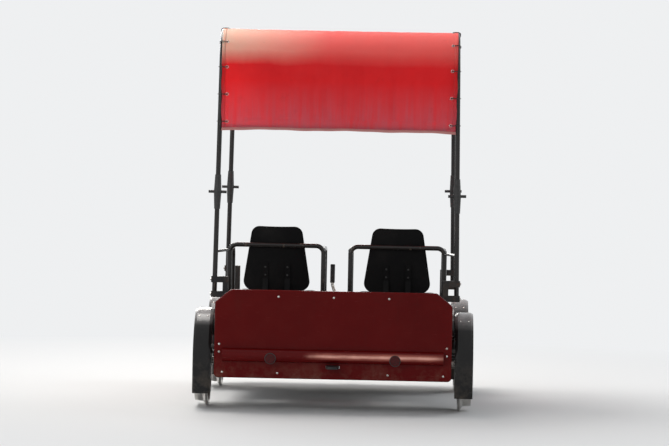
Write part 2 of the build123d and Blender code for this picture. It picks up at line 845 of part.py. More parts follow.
def post_collar(side, y):
    """The tapered sleeve where the canopy's upper frame joins its lower post."""
    half = collar_height / 2
    ring = Pos(post_foot_x, y, collar_z) * Cone(collar_radius, post_radius + collar_lip, half,
                                                align=(Align.CENTER, Align.CENTER, Align.MIN))
    ring += Pos(post_foot_x, y, collar_z - half) * Cone(post_radius + collar_lip, collar_radius, half,
                                                        align=(Align.CENTER, Align.CENTER, Align.MIN))
    ring += rod((post_foot_x - collar_pin_reach, y, collar_z), (post_foot_x + collar_pin_reach, y, collar_z),
                collar_pin_radius)
    ring -= rod((post_foot_x, y, collar_z - half), (post_foot_x, y, collar_z + half),
                post_radius + running_fit)
    return on_side(leaned(ring), side)


def post_upright(side, y, foot_z):
    """An upright on the side of the chassis with two bored arms that hold the foot of a post."""
    half = upright_size / 2
    x0 = rail_outer_x - upright_size
    reach = post_foot_x + post_radius + saddle_wall
    wide = half + saddle_wall
    upright = block(x0, rail_outer_x, y - half, y + half, foot_z, upright_top_z)
    for z in (post_foot_z, upright_top_z - saddle_height):
        upright += block(rail_outer_x, reach, y - wide, y + wide, z, z + saddle_height)
    post = rod((post_foot_x, y, post_foot_z - saddle_height), (post_foot_x, y, upright_top_z + saddle_height),
               post_radius + running_fit)
    return on_side(upright - leaned(post), side)


post_places = {
    # y, height of the upright's foot
    "rear": (rear_post_y, rail_top_z + deck_thickness),
    "front": (front_post_y, rail_top_z),
}


def canopy_sheet():
    """The fabric over the hoops: one sheet down the back, over the roof and down the front."""
    clear = post_radius + seat_gap
    low_y = rear_post_y - clear
    high_y = front_post_y + clear
    rise = (hoop_top_z - post_foot_z) * cos(radians(post_lean))
    top = post_foot_z + rise + clear
    mid_y = (low_y + high_y) / 2
    tall = 2 * (top - rear_hem_z + hoop_bend)
    wall = sheet_wall
    outer = RectangleRounded(high_y - low_y + 2 * wall, tall, hoop_bend + clear + wall)
    inner = RectangleRounded(high_y - low_y, tall - 2 * wall, hoop_bend + clear)
    band = Pos(mid_y, top + wall - tall / 2) * (outer - inner)
    reach = 2000
    band -= Pos(mid_y - reach / 2, rear_hem_z - reach / 2) * Rectangle(reach, reach)
    band -= Pos(mid_y + reach / 2, front_hem_z - reach / 2) * Rectangle(reach, reach)
    half_width = post_x(hoop_top_z) + sheet_overlap
    place = Plane(origin=(-half_width, 0, 0), x_dir=(0, 1, 0), z_dir=(1, 0, 0))
    return extrude(place * band, amount=2 * half_width)


def armrest_tie(side):
    """The stay from an outer armrest to the rear post."""
    z = tie_z
    start = (seat_x + armrest_offset_x, seat_rear_y, z)
    end = (post_x(z), rear_post_y, z)
    run = Vector(*end) - Vector(*start)
    unit = run.normalized()
    first = Vector(*start) + unit * (armrest_radius + seat_gap)
    last = Vector(*end) - unit * (post_radius + seat_gap)
    return on_side(rod(tuple(first), tuple(last), tie_radius), side)


def chain_guard(side):
    """A cover over the top of the chain wheel, on a plate clamped round the bracket shell."""
    outer = pitch_radius(ring_teeth) + link_half_height + guard_clearance + cover_wall
    x0 = seat_x - chain_offset - cover_half
    x1 = seat_x - bracket_half + cover_plate
    place = Plane(origin=(x0, crank_y, crank_z), z_dir=(1, 0, 0), x_dir=(0, 1, 0))
    upper = Pos(0, outer / 2 + cover_lift) * Rectangle(2 * outer, outer)
    cover = extrude(place * ((Circle(outer) - Circle(outer - cover_wall)) & upper), amount=x1 - x0)
    web = Circle(outer) & Pos(0, outer / 2) * Rectangle(cover_web_width, outer)
    web += Circle(bracket_radius + cover_clamp)
    web -= Circle(bracket_radius + running_fit)
    cover += extrude(place.offset(x1 - x0 - cover_plate) * web, amount=cover_plate)
    return on_side(cover, side)


def write(name, *solids):
    """Writes one piece of the car."""
    os.makedirs("parts", exist_ok=True)
    whole = solids[0] if len(solids) == 1 else Compound(children=list(solids))
    export_step(whole, f"parts/{name}.step")


def pair(maker, *args):
    """The left and the right copy of a piece."""
    return [maker(side, *args) for side in sides.values()]


def build():
    rear_face_y = -rail_half_length - panel_depth
    write("side_rails", *pair(side_rail))
    write("cross_beams", *[cross_beam(y) for y in beam_places.values()])
    write("floor_plate", floor_plate())
    write("rear_deck", rear_deck())
    write("axle_bearings", *[axle_bearing(side, y) for y in axles.values() for side in sides.values()])
    for end, y in axles.items():
        write(f"{end}_axle_shaft", axle_shaft(y))
        write(f"wheel_guards_{end}", *pair(wheel_guard, y))
        for hand, side in sides.items():
            write(f"wheel_{end}_{hand}", wheel(side, y))
    write("guard_stays", *guard_stays())
    write("rear_panel", end_panel(rear_face_y, panel_top_z, False))
    write("front_panel", end_panel(rear_face_y, front_panel_top_z, True))
    write("side_panels", *pair(side_panel))
    write("bumpers", bumper(False), bumper(True))
    write("tow_tongues", tow_tongue(False), tow_tongue(True))
    write("reflectors", *pair(reflector))
    write("seat_tubes", seat_tube(seat_rear_y), seat_tube(seat_front_y))
    write("seat_legs", *[seat_leg(side, y) for y in (seat_rear_y, seat_front_y) for side in sides.values()])
    write("seat_ties", *pair(seat_tie))
    write("armrests", *pair(armrest_set))
    write("armrest_ties", *pair(armrest_tie))
    write("seat_pans", *pair(seat_pan))
    write("seat_backs", *pair(seat_back))
    write("back_straps", *pair(back_strap, -1), *pair(back_strap, 1))
    write("crank_stands", *pair(crank_stand))
    write("chains", *pair(chain_loop))
    write("chain_guards", *pair(chain_guard))
    for hand, side in sides.items():
        arms, ring = crank_set(side)
        write(f"crank_arms_{hand}", on_side(arms, side))
        write(f"chain_wheel_{hand}", on_side(ring, side))
        for where, way in (("inner", -1), ("outer", 1)):
            write(f"pedal_{hand}_{where}", on_side(pedal(side, way), side))
    chain_x = seat_x - chain_offset
    axle_sprocket = sprocket(chain_x, front_axle_y, axle_z, axle_teeth, axle_radius + running_fit, 0)
    write("axle_sprockets", *[on_side(axle_sprocket, side) for side in sides.values()])
    write("canopy_hoops", *pair(canopy_hoop))
    write("canopy_cross_tubes", *[cross_tube(y, z) for y, z in cross_tubes])
    write("post_collars", *[post_collar(side, y) for y in (rear_post_y, front_post_y)
                            for side in sides.values()])
    write("post_uprights", *[post_upright(side, *place) for place in post_places.values()
                             for side in sides.values()])
    write("canopy_sheet", canopy_sheet())
    write("brake_lever", brake_lever())
    write("brake_brackets", brake_bracket(), *pair(brake_hanger))
    write("brake_gear", brake_gear())
    write("brake_rod", brake_rod())


build()
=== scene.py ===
import json
from math import asin, atan2, cos, hypot, pi, radians, sin
import bpy
from mathutils import Matrix, Vector


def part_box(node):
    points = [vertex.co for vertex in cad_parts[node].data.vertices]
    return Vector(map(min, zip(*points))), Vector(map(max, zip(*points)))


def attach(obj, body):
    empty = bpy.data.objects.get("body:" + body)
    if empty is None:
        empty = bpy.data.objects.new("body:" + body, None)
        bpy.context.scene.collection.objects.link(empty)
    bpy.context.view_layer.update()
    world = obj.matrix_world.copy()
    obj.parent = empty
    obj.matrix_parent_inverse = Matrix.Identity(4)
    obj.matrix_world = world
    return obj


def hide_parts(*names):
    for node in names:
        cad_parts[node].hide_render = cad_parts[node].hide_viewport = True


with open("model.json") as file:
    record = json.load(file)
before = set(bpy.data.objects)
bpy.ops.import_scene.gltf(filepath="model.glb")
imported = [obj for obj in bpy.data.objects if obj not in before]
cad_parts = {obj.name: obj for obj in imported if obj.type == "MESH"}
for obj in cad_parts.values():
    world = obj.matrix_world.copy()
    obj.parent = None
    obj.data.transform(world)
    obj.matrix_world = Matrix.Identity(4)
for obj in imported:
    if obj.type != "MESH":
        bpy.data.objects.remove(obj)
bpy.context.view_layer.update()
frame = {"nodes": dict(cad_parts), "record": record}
print("frame loaded")


def at(x, y, z):
    return Vector((x, y, z))


sides, ways = {"left": -1, "right": 1}, (-1, 1)
right, rear, ahead, up = at(1, 0, 0), at(0, -1, 0), at(0, 1, 0), at(0, 0, 1)
car = {  # places shared by several pieces, in metres
    "axleY": 0.65, "axleZ": 0.25, "seatX": 0.34, "railX": 0.6, "faceX": 0.625,
    "crankY": 0.495, "crankZ": 0.52, "legYs": (-0.32, 0.07), "postYs": (-0.58, 0.74), "tubeYs": (-0.4, 0.08, 0.56),
}
axles = {"rear": -car["axleY"], "front": car["axleY"]}


# Small helpers for node trees
work = {"tree": None}  # the tree that is being built


def join(output, socket):
    work["tree"].links.new(output, socket)


def addStep(kind, links=None, **settings):  # links: input name or number -> value or socket
    node = work["tree"].nodes.new(kind)
    for key, value in settings.items():
        setattr(node, key, value)
    for key, value in (links or {}).items():
        if isinstance(value, bpy.types.NodeSocket):
            join(value, node.inputs[key])
        else:
            node.inputs[key].default_value = value
    return node


def newFinish(name, roughness=0.5, metallic=0.0, coat=0.0, level=0.5, coatRoughness=0.08):
    material = bpy.data.materials.new(name)
    material.use_nodes = True
    shader = material.node_tree.nodes["Principled BSDF"]
    for label, value in (("Roughness", roughness), ("Metallic", metallic), ("Specular IOR Level", level),
                         ("Coat Weight", coat), ("Coat Roughness", coatRoughness)):
        shader.inputs[label].default_value = value
    work["tree"] = material.node_tree
    return material, shader


def place(stretch=(1, 1, 1)):  # the object's own coordinates, stretched
    coords = addStep("ShaderNodeTexCoord")
    return addStep("ShaderNodeMapping", {"Vector": coords.outputs["Object"], "Scale": stretch}).outputs[0]


def noise(scale, detail=4.0, roughness=0.6, stretch=(1, 1, 1)):
    links = {"Vector": place(stretch), "Scale": scale, "Detail": detail, "Roughness": roughness}
    return addStep("ShaderNodeTexNoise", links).outputs["Fac"]


def cells(scale):
    return addStep("ShaderNodeTexVoronoi", {"Vector": place(), "Scale": scale}).outputs["Distance"]


def part(axis):  # one object coordinate: 0, 1 or 2
    return addStep("ShaderNodeSeparateXYZ", {"Vector": place()}).outputs[axis]


def window(source, start, end, low=0.0, high=1.0):  # start..end becomes low..high
    links = {"Value": source, "From Min": start, "From Max": end, "To Min": low, "To Max": high}
    return addStep("ShaderNodeMapRange", links, clamp=True).outputs[0]


def sums(operation, first, second=0.0):
    return addStep("ShaderNodeMath", {0: first, 1: second}, operation=operation).outputs[0]


def times(first, second):
    return sums("MULTIPLY", first, second)


def apart(value, middle):  # how far a value is from a middle one
    return sums("ABSOLUTE", sums("SUBTRACT", value, middle))


def tint(colour):
    return (*colour, 1.0)


def over(factor, under, upper):  # colours: a socket or three numbers
    node = addStep("ShaderNodeMix", data_type="RGBA")
    for key, value in (("Factor", factor), ("A", under), ("B", upper)):
        socket = next(s for s in node.inputs if s.name == key and s.enabled)
        if isinstance(value, bpy.types.NodeSocket):
            join(value, socket)
        else:
            socket.default_value = tint(value)
    return next(s for s in node.outputs if s.enabled)


def grain(shader, height, depth, strength=1.0):  # adds a bump over the bump that is there
    node = addStep("ShaderNodeBump", {"Height": height, "Distance": depth, "Strength": strength})
    old = shader.inputs["Normal"].links
    if old:
        join(old[0].from_socket, node.inputs["Normal"])
    join(node.outputs[0], shader.inputs["Normal"])


def wear(shader, colour, roughness=None):
    join(colour, shader.inputs["Base Color"])
    if roughness is not None:
        join(roughness, shader.inputs["Roughness"])


dust = (0.3, 0.24, 0.17)
rust = (0.16, 0.055, 0.022)
reds = (0.074, 0.0012, 0.0013), (0.13, 0.0022, 0.0023)  # two tones of the red paint, mixed at random; both are darkened to the shaded look of the rear face, painted shade over a brighter real red


# Finishes
def makeBodyRed():
    material, shader = newFinish("bodyRed", 0.24, coat=0.03, level=0.07)
    film = window(part(2), 0.3, 0.17, 0.01, 0.22)  # more dust towards the foot
    soil = times(film, window(noise(9, 8, 0.7), 0.44, 0.7))
    runs = window(noise(5, 5, 0.6, (7, 7, 0.5)), 0.58, 0.78, 0.0, 0.16)
    scratch = window(noise(26, 3, 0.5, (0.7, 1, 14)), 0.7, 0.73, 0.0, 0.35)
    dirty = over(soil, over(noise(2.3, 3), *reds), dust)
    dirty = over(runs, dirty, (0.035, 0.012, 0.009))
    dirty = over(scratch, dirty, (0.26, 0.035, 0.03))
    wear(shader, dirty, window(sums("ADD", soil, scratch), 0.0, 0.6, 0.2, 0.62))
    grain(shader, noise(210, 2), 0.0004, 0.1)
    grain(shader, noise(6, 2), 0.004, 0.1)
    return material


def makeGuardBlack():
    material, shader = newFinish("guardBlack", 0.2, coat=0.28, coatRoughness=0.1, level=0.08)
    paint = over(noise(5, 4), (0.006, 0.006, 0.0065), (0.013, 0.0125, 0.012))
    film = window(part(2), 0.3, 0.1, 0.01, 0.38)
    soil = times(film, window(noise(11, 8, 0.72), 0.42, 0.72))
    specks = window(noise(160, 3), 0.68, 0.76, 0.0, 0.25)
    outside = window(sums("ABSOLUTE", part(0)), 0.6, 0.65)
    crownDustAndGlint = times(outside, window(part(2), 0.455, 0.53, 0.0, 0.62))  # light grey dust on the crown, and a painted highlight where light glints on the guards' tops
    crownDustAndGlint = times(crownDustAndGlint, window(noise(13, 7, 0.7), 0.3, 0.62, 0.45, 1.0))
    dirty = over(sums("MAXIMUM", soil, specks), paint, (0.2, 0.16, 0.12))
    wear(shader, over(crownDustAndGlint, dirty, (0.5, 0.47, 0.46)), window(soil, 0.0, 0.5, 0.24, 0.75))
    grain(shader, noise(9, 3), 0.003, 0.12)
    return material


def makeFrameSteel():
    material, shader = newFinish("frameSteel", 0.42, level=0.22)
    paint = over(noise(6, 4), (0.012, 0.012, 0.014), (0.026, 0.025, 0.026))
    chips = window(noise(34, 9, 0.75), 0.62, 0.66)
    soil = window(noise(10, 8, 0.7), 0.46, 0.74, 0.0, 0.55)
    dirty = over(chips, over(soil, paint, (0.13, 0.1, 0.075)), rust)
    wear(shader, dirty, window(sums("MAXIMUM", soil, chips), 0, 1, 0.36, 0.85))
    grain(shader, noise(90, 4), 0.0005, 0.25)
    grain(shader, times(chips, -1.0), 0.0006, 0.5)
    return material


def makeWheelSteel():  # bright where the rail rubs, by the distance from the nearer axle
    material, shader = newFinish("wheelSteel", 0.6, metallic=1.0)
    along = sums("SUBTRACT", sums("ABSOLUTE", part(1)), car["axleY"])
    rise = sums("SUBTRACT", part(2), car["axleZ"])
    radius = sums("SQRT", sums("ADD", times(along, along), times(rise, rise)))
    rubbed = window(radius, 0.219, 0.2215)
    rough = window(noise(16, 8, 0.7), 0.35, 0.65)
    cast = over(rough, (0.04, 0.028, 0.022), (0.105, 0.055, 0.034))
    bright = over(noise(40, 5), (0.42, 0.4, 0.38), (0.6, 0.58, 0.55))
    wear(shader, over(rubbed, cast, bright), window(rubbed, 0, 1, 0.78, 0.24))
    join(window(rubbed, 0, 1, 0.25, 1.0), shader.inputs["Metallic"])
    pits = times(noise(130, 6, 0.7), window(rubbed, 0, 1, 1.0, 0.05))
    grain(shader, pits, 0.0012, 0.5)
    return material


def makeReflectorRed():
    material, shader = newFinish("reflectorRed", 0.18, coat=0.12, coatRoughness=0.05, level=0.15)
    facets = cells(260)
    shade = window(facets, 0.1, 0.7)
    wear(shader, over(shade, (0.11, 0.001, 0.0016), (0.03, 0.0004, 0.0006)))
    grain(shader, facets, 0.0006, 0.35)
    return material


def makeBumperRed():  # a painted highlight on the rear bar's face, whitish on the right, where light reflects off the rounded bar; x and z are the car's own
    highlight = {"from": -0.1, "full": 0.05, "fade": 0.52, "end": 0.63, "middle": 0.308}
    material, shader = newFinish("bumperRed", 0.26, coat=0.05, level=0.1)
    along, off = part(0), apart(part(2), highlight["middle"])
    ragged = sums("ADD", along, times(noise(16, 5), 0.14))
    share = window(part(1), 0.0, -0.5)
    highlightBreakup = window(noise(22, 6, 0.7, (0.35, 1, 1)), 0.3, 0.62, 0.35, 1.0)
    for cover in (window(ragged, highlight["from"], highlight["full"]), window(along, highlight["end"], highlight["fade"]),
                  window(off, 0.022, 0.009), highlightBreakup):
        share = times(share, cover)
    highlightCore = times(share, window(off, 0.01, 0.003))
    scratch = window(noise(26, 3, 0.5, (0.7, 1, 14)), 0.68, 0.72, 0.0, 0.5)
    dirty = over(noise(2.3, 3), *reds)
    # the two light tones lay the painted highlight over the red; the scratch tone is real wear
    for cover, tone in ((share, (0.46, 0.14, 0.105)), (highlightCore, (0.88, 0.45, 0.36)),
                        (scratch, (0.34, 0.09, 0.075))):
        dirty = over(cover, dirty, tone)
    wear(shader, dirty, window(share, 0, 1, 0.24, 0.45))
    grain(shader, noise(6, 2), 0.004, 0.1)
    return material


def makeCanopyCloth():  # the sheet's own map is in metres: u across the car, v from rear hem to front hem
    cloth = {
        "red": (0.85, 0.023, 0.026), "dark": (0.74, 0.015, 0.019), "bendHighlight": (0.99, 0.12, 0.105),
        "bendGlare": (0.99, 0.52, 0.39), "roof": (0.45, 0.034, 0.032), "roofPale": (0.54, 0.076, 0.066),
        "rubbed": (0.8, 0.24, 0.2), "lowGlow": (0.48, 0.13, 0.165), "stain": (0.22, 0.03, 0.025),
        "gap": (0.1, 0.004, 0.006), "threads": 780.0}
    material, shader = newFinish("canopyCloth", 0.72, level=0.15)
    for label, value in (("Sheen Weight", 0.06), ("Sheen Roughness", 0.5), ("Subsurface Weight", 0.55),
                         ("Subsurface Radius", (0.02, 0.004, 0.004)), ("Subsurface Scale", 1.0)):
        shader.inputs[label].default_value = value
    x, y, z = (part(axis) for axis in range(3))
    tone = over(window(noise(3.2, 5, 0.6), 0.35, 0.68), cloth["dark"], cloth["red"])
    # painted highlight: the bends are lighter where light falls on them, lightest at the rear left end
    glareMask = times(window(x, -0.06, -0.66), window(y, 0.3, 0.6, 1.0, 0.4))
    sunlit = over(glareMask, cloth["bendHighlight"], cloth["bendGlare"])
    # the roof tones are darker than the sides to offset the light falling on the top, painted shade; the blotches
    # over them are weathering
    blotches = window(noise(5, 7, 0.68, (1, 0.45, 1)), 0.38, 0.66)
    roof = over(blotches, cloth["roof"], cloth["roofPale"])
    for tubeY in car["tubeYs"]:  # rubbed lines over the cross tubes
        roof = over(window(apart(y, tubeY), 0.022, 0.004, 0.0, 0.45), roof, cloth["rubbed"])
    top = over(window(apart(y, car["tubeYs"][1]), 0.38, 0.54), roof, sunlit)
    edge = sums("ADD", z, times(noise(4, 4, 0.6, (1, 1, 0.3)), 0.05))  # soft and uneven
    # above this soft edge the tone turns to the roof and the bends' painted highlight
    tone = over(window(edge, 1.908, 1.99, 0.0, 0.94), tone, top)
    # painted glow: mauve streaks above the rear hem where light passes through and reflects off the lower rear
    # drop
    glowStreak = window(noise(30, 6, 0.7, (1, 1, 0.06)), 0.32, 0.7, 0.4, 1.0)
    tone = over(times(glowStreak, window(z, 1.8, 1.57, 0.0, 0.88)), tone, cloth["lowGlow"])
    tone = over(window(noise(8, 8, 0.7), 0.6, 0.78, 0.0, 0.3), tone, cloth["stain"])
    uv = addStep("ShaderNodeTexCoord").outputs["UV"]
    axes = addStep("ShaderNodeSeparateXYZ", {"Vector": uv}).outputs
    weave = times(*(sums("SINE", times(axes[n], cloth["threads"] * 2 * pi)) for n in (0, 1)))
    tone = over(window(weave, -1, 1, 0.1, 0.0), tone, cloth["gap"])
    wear(shader, tone, window(noise(12, 5), 0.3, 0.7, 0.62, 0.8))
    grain(shader, weave, 0.00025, 0.35)
    grain(shader, noise(14, 6, 0.65), 0.004, 0.18)
    return material


# Plain finishes: a cloud of two tones, stains over it, and gloss that follows the stains
# base is roughness, metallic, coat and level; a bump is its pattern, sizes, depth and strength
def makePlain(name, look):
    material, shader = newFinish(name, *look["base"])
    colour = over(noise(*look["cloud"]), *look["tones"])
    cover = noise(*look["wear"])
    if "stain" in look:
        cover = window(cover, *look["share"])
        colour = over(cover, colour, look["stain"])
    wear(shader, colour, window(cover, *look["gloss"]))
    if "bare" in look:
        join(window(cover, *look["bare"]), shader.inputs["Metallic"])
    for pattern, sizes, depth, strength in look.get("bumps", ()):
        grain(shader, pattern(*sizes), depth, strength)
    return material


looks = {
    "seatBlack": {
        "base": (0.5, 0.0, 0.0, 0.08), "cloud": (7, 5), "wear": (4, 6, 0.65),
        "tones": ((0.004, 0.004, 0.0045), (0.01, 0.0095, 0.0095)), "stain": (0.02, 0.018, 0.017),
        "share": (0.5, 0.72, 0.0, 0.5), "gloss": (0, 0.5, 0.6, 0.46),
        "bumps": ((cells, (520,), 0.0005, 0.3), (noise, (130, 3), 0.0004, 0.2))},
    "tubeSteel": {
        "base": (0.25, 0.0, 0.15, 0.25), "cloud": (9, 4),
        "wear": (22, 7, 0.7, (1, 1, 0.35)), "tones": ((0.01, 0.009, 0.009), (0.022, 0.018, 0.016)),
        "stain": (0.115, 0.085, 0.065), "share": (0.6, 0.68, 0.0, 0.8), "gloss": (0, 0.8, 0.22, 0.6),
        "bumps": ((noise, (300, 2), 0.0003, 0.15),)},
    "clampBlack": {
        "base": (0.55,), "cloud": (40, 4), "wear": (60, 4), "gloss": (0.3, 0.7, 0.45, 0.7),
        "tones": ((0.012, 0.012, 0.012), (0.03, 0.029, 0.028)), "bumps": ((noise, (240, 3), 0.0004, 0.3),)},
    "footPlate": {
        "base": (0.4, 0.9), "cloud": (14, 5), "wear": (7, 8, 0.7),
        "tones": ((0.36, 0.36, 0.35), (0.5, 0.49, 0.47)), "stain": (0.11, 0.085, 0.062),
        "share": (0.4, 0.66, 0.05, 0.85), "gloss": (0, 1, 0.3, 0.82), "bare": (0.0, 0.85, 0.95, 0.15),
        "bumps": ((noise, (120, 4, 0.6, (1, 6, 1)), 0.0004, 0.3),)},
    "axleSteel": {
        "base": (0.35, 1.0), "cloud": (30, 5), "wear": (24, 9, 0.75),
        "tones": ((0.24, 0.22, 0.2), (0.44, 0.42, 0.39)), "stain": (0.13, 0.06, 0.03),
        "share": (0.52, 0.66, 0.0, 0.85), "gloss": (0, 0.85, 0.26, 0.8),
        "bumps": ((noise, (700, 2, 0.5, (1, 0.02, 0.02)), 0.0002, 0.3),)},
    "chainSteel": {
        "base": (0.34, 1.0), "cloud": (120, 4), "wear": (60, 6, 0.7),
        "tones": ((0.13, 0.115, 0.1), (0.3, 0.28, 0.25)), "stain": (0.02, 0.015, 0.011),
        "share": (0.4, 0.62, 0.1, 0.9), "gloss": (0, 1, 0.28, 0.5)},
    "pedalRubber": {
        "base": (0.7,), "cloud": (50, 5), "wear": (80, 4), "gloss": (0.3, 0.7, 0.6, 0.85),
        "tones": ((0.014, 0.014, 0.014), (0.045, 0.043, 0.04)), "bumps": ((noise, (400, 3), 0.0005, 0.4),)},
    "treadWorn": {
        "base": (0.3, 1.0), "cloud": (30, 5), "wear": (7, 8, 0.7),
        "tones": ((0.46, 0.45, 0.43), (0.66, 0.64, 0.61)), "stain": (0.16, 0.13, 0.1),
        "share": (0.5, 0.74, 0.0, 0.7), "gloss": (0, 0.7, 0.26, 0.65)},
    "hemPale": {
        "base": (0.8,), "cloud": (18, 7, 0.7), "wear": (60, 3), "gloss": (0.3, 0.7, 0.7, 0.9),
        "tones": ((0.5, 0.17, 0.16), (0.64, 0.3, 0.27)), "bumps": ((noise, (900, 2, 0.5), 0.0004, 0.4),)},
    "lashingCord": {
        "base": (0.85,), "cloud": (90, 4), "wear": (120, 3), "gloss": (0.3, 0.7, 0.75, 0.95),
        "tones": ((0.016, 0.012, 0.012), (0.05, 0.038, 0.034)), "bumps": ((noise, (700, 2), 0.0004, 0.4),)},
    "screwSteel": {
        "base": (0.3, 1.0), "cloud": (90, 4), "wear": (70, 7, 0.7),
        "tones": ((0.38, 0.36, 0.33), (0.58, 0.56, 0.53)), "stain": rust,
        "share": (0.55, 0.7, 0.0, 0.8), "gloss": (0, 0.8, 0.26, 0.8)},
    "sewingThread": {
        "base": (0.85,), "cloud": (70, 4), "wear": (120, 3), "gloss": (0.3, 0.7, 0.75, 0.95),
        "tones": ((0.3, 0.045, 0.04), (0.46, 0.15, 0.12))},
}
plain = {name: makePlain(name, look) for name, look in looks.items()}
finishes = {
    "red_body": makeBodyRed(), "guard_black": makeGuardBlack(), "seat_black": plain["seatBlack"],
    "frame_steel": makeFrameSteel(), "tube_steel": plain["tubeSteel"], "clamp_black": plain["clampBlack"],
    "foot_plate": plain["footPlate"], "wheel_steel": makeWheelSteel(), "axle_steel": plain["axleSteel"],
    "chain_steel": plain["chainSteel"], "pedal_rubber": plain["pedalRubber"],
    "reflector_red": makeReflectorRed(), "canopy_cloth": makeCanopyCloth(),
}
for row in frame["record"]["subparts"]:
    frame["nodes"][row["node"]].material_slots[0].material = finishes[row["material_slot"]]
frame["nodes"]["bumpers"].material_slots[0].material = makeBumperRed()
frame["nodes"]["back_straps"].material_slots[0].material = finishes["seat_black"]
print("finishes made")


# Geometry trees
def newTree(name, sizes):  # sizes: label -> number, or None for an object
    tree = bpy.data.node_groups.new(name, "GeometryNodeTree")
    tree.interface.new_socket("Geometry", in_out="INPUT", socket_type="NodeSocketGeometry")
    for label, value in sizes.items():
        kind = {float: "Float", int: "Int"}.get(type(value), "Object")
        socket = tree.interface.new_socket(label, in_out="INPUT", socket_type="NodeSocket" + kind)
        if value is not None:
            socket.default_value = value
    tree.interface.new_socket("Material", in_out="INPUT", socket_type="NodeSocketMaterial")
    tree.interface.new_socket("Geometry", in_out="OUTPUT", socket_type="NodeSocketGeometry")
    work["tree"] = tree
    return addStep("NodeGroupInput").outputs


def shaped(kind, links, **settings):  # the first output of a geometry node
    return addStep("GeometryNode" + kind, links, **settings).outputs[0]


def closeTree(given, geometry):
    real = shaped("RealizeInstances", {"Geometry": geometry})
    dressed = shaped("SetMaterial", {"Geometry": real, "Material": given["Material"]})
    addStep("NodeGroupOutput", {"Geometry": dressed})
    return work["tree"]


def named(label, kind):
    return shaped("InputNamedAttribute", {"Name": label}, data_type=kind)


def turned(axis, angle):
    return addStep("FunctionNodeAxisAngleToRotation", {"Axis": axis, "Angle": angle}).outputs[0]


def spread(given, shape):  # a copy at each spot, its Z along the facing, turned by the spot's angle
    facing = named("facing", "FLOAT_VECTOR")
    upright = addStep("FunctionNodeAlignRotationToVector", {"Vector": facing}, axis="Z")
    own = turned((0, 0, 1), named("angle", "FLOAT"))
    both = addStep("FunctionNodeRotateRotation", {0: upright.outputs[0], 1: own}, rotation_space="LOCAL")
    links = {"Points": given["Geometry"], "Instance": shape, "Rotation": both.outputs[0]}
    return shaped("InstanceOnPoints", links)


def moved(shape, way, sizes):  # moves or scales a shape by an X, Y and Z
    vector = addStep("ShaderNodeCombineXYZ", sizes)
    return shaped("Transform", {"Geometry": shape, way: vector.outputs[0]})


def makeScrewTree():  # a head with a chamfered cap, on a round washer
    given = newTree("screwHeads", {
        "Head Radius": 0.006, "Head Height": 0.005, "Washer Radius": 0.009, "Sides": 6})
    radius, height, count = given["Head Radius"], given["Head Height"], given["Sides"]
    washerDepth, shank = times(height, 0.3), times(height, 0.8)
    washer = shaped("MeshCylinder", {"Vertices": 20, "Radius": given["Washer Radius"], "Depth": washerDepth})
    head = shaped("MeshCylinder", {"Vertices": count, "Radius": radius, "Depth": shank})
    top, depth = times(radius, 0.82), times(height, 0.2)
    cap = shaped("MeshCone", {"Vertices": count, "Radius Bottom": radius, "Radius Top": top, "Depth": depth})
    pieces = addStep("GeometryNodeJoinGeometry")
    headMiddle = sums("ADD", washerDepth, times(shank, 0.5))
    for shape, lift in ((washer, times(washerDepth, 0.5)), (head, headMiddle),
                        (cap, sums("ADD", washerDepth, shank))):
        join(moved(shape, "Translation", {"Z": lift}), pieces.inputs[0])
    return closeTree(given, spread(given, pieces.outputs[0]))


def makeDomeTree():  # a round domed head, for rivets and button screws
    given = newTree("domeHeads", {"Head Radius": 0.006, "Head Height": 0.003})
    ball = shaped("MeshUVSphere", {"Segments": 16, "Rings": 8, "Radius": 1.0})
    radius = given["Head Radius"]
    dome = moved(ball, "Scale", {"X": radius, "Y": radius, "Z": given["Head Height"]})
    return closeTree(given, spread(given, dome))


def makeBarTree():  # a long low lozenge, for tread bars and stitches
    given = newTree("raisedBars", {"Bar Length": 0.02, "Bar Width": 0.005, "Bar Height": 0.001})
    ball = shaped("MeshIcoSphere", {"Radius": 1.0, "Subdivisions": 1})
    halfLong, halfWide = (times(given[label], 0.5) for label in ("Bar Length", "Bar Width"))
    bar = moved(ball, "Scale", {"X": halfLong, "Y": halfWide, "Z": given["Bar Height"]})
    return closeTree(given, spread(given, bar))


def circle(count, radius):
    return shaped("CurvePrimitiveCircle", {"Resolution": count, "Radius": radius})


def makeRingTree():  # a round ring about the spot's facing
    given = newTree("rings", {"Ring Radius": 0.006, "Wire Radius": 0.001, "Ring Steps": 20})
    loop, wire = circle(given["Ring Steps"], given["Ring Radius"]), circle(8, given["Wire Radius"])
    ring = shaped("CurveToMesh", {"Curve": loop, "Profile Curve": wire})
    return closeTree(given, spread(given, ring))


def makeBeadTree():  # a round bead along the source's edges
    given = newTree("beads", {"Bead Radius": 0.004, "Bead Sides": 10})
    path = shaped("MeshToCurve", {"Mesh": given["Geometry"]})
    profile = circle(given["Bead Sides"], given["Bead Radius"])
    bead = shaped("CurveToMesh", {"Curve": path, "Profile Curve": profile, "Fill Caps": True})
    return closeTree(given, shaped("SetShadeSmooth", {"Geometry": bead}))


def makeLinkTree():  # copies of one shape, such as a chain link
    given = newTree("copies", {"Shape": None})
    shape = addStep("GeometryNodeObjectInfo", {"Object": given["Shape"]}, transform_space="ORIGINAL")
    turn = turned((1, 0, 0), named("turn", "FLOAT"))
    links = {"Points": given["Geometry"], "Instance": shape.outputs["Geometry"], "Rotation": turn}
    return closeTree(given, shaped("InstanceOnPoints", links))


screwTree, domeTree, barTree = makeScrewTree(), makeDomeTree(), makeBarTree()
ringTree, beadTree, linkTree = makeRingTree(), makeBeadTree(), makeLinkTree()


def linked(name, mesh):
    piece = bpy.data.objects.new(name, mesh)
    bpy.context.scene.collection.objects.link(piece)
    return piece


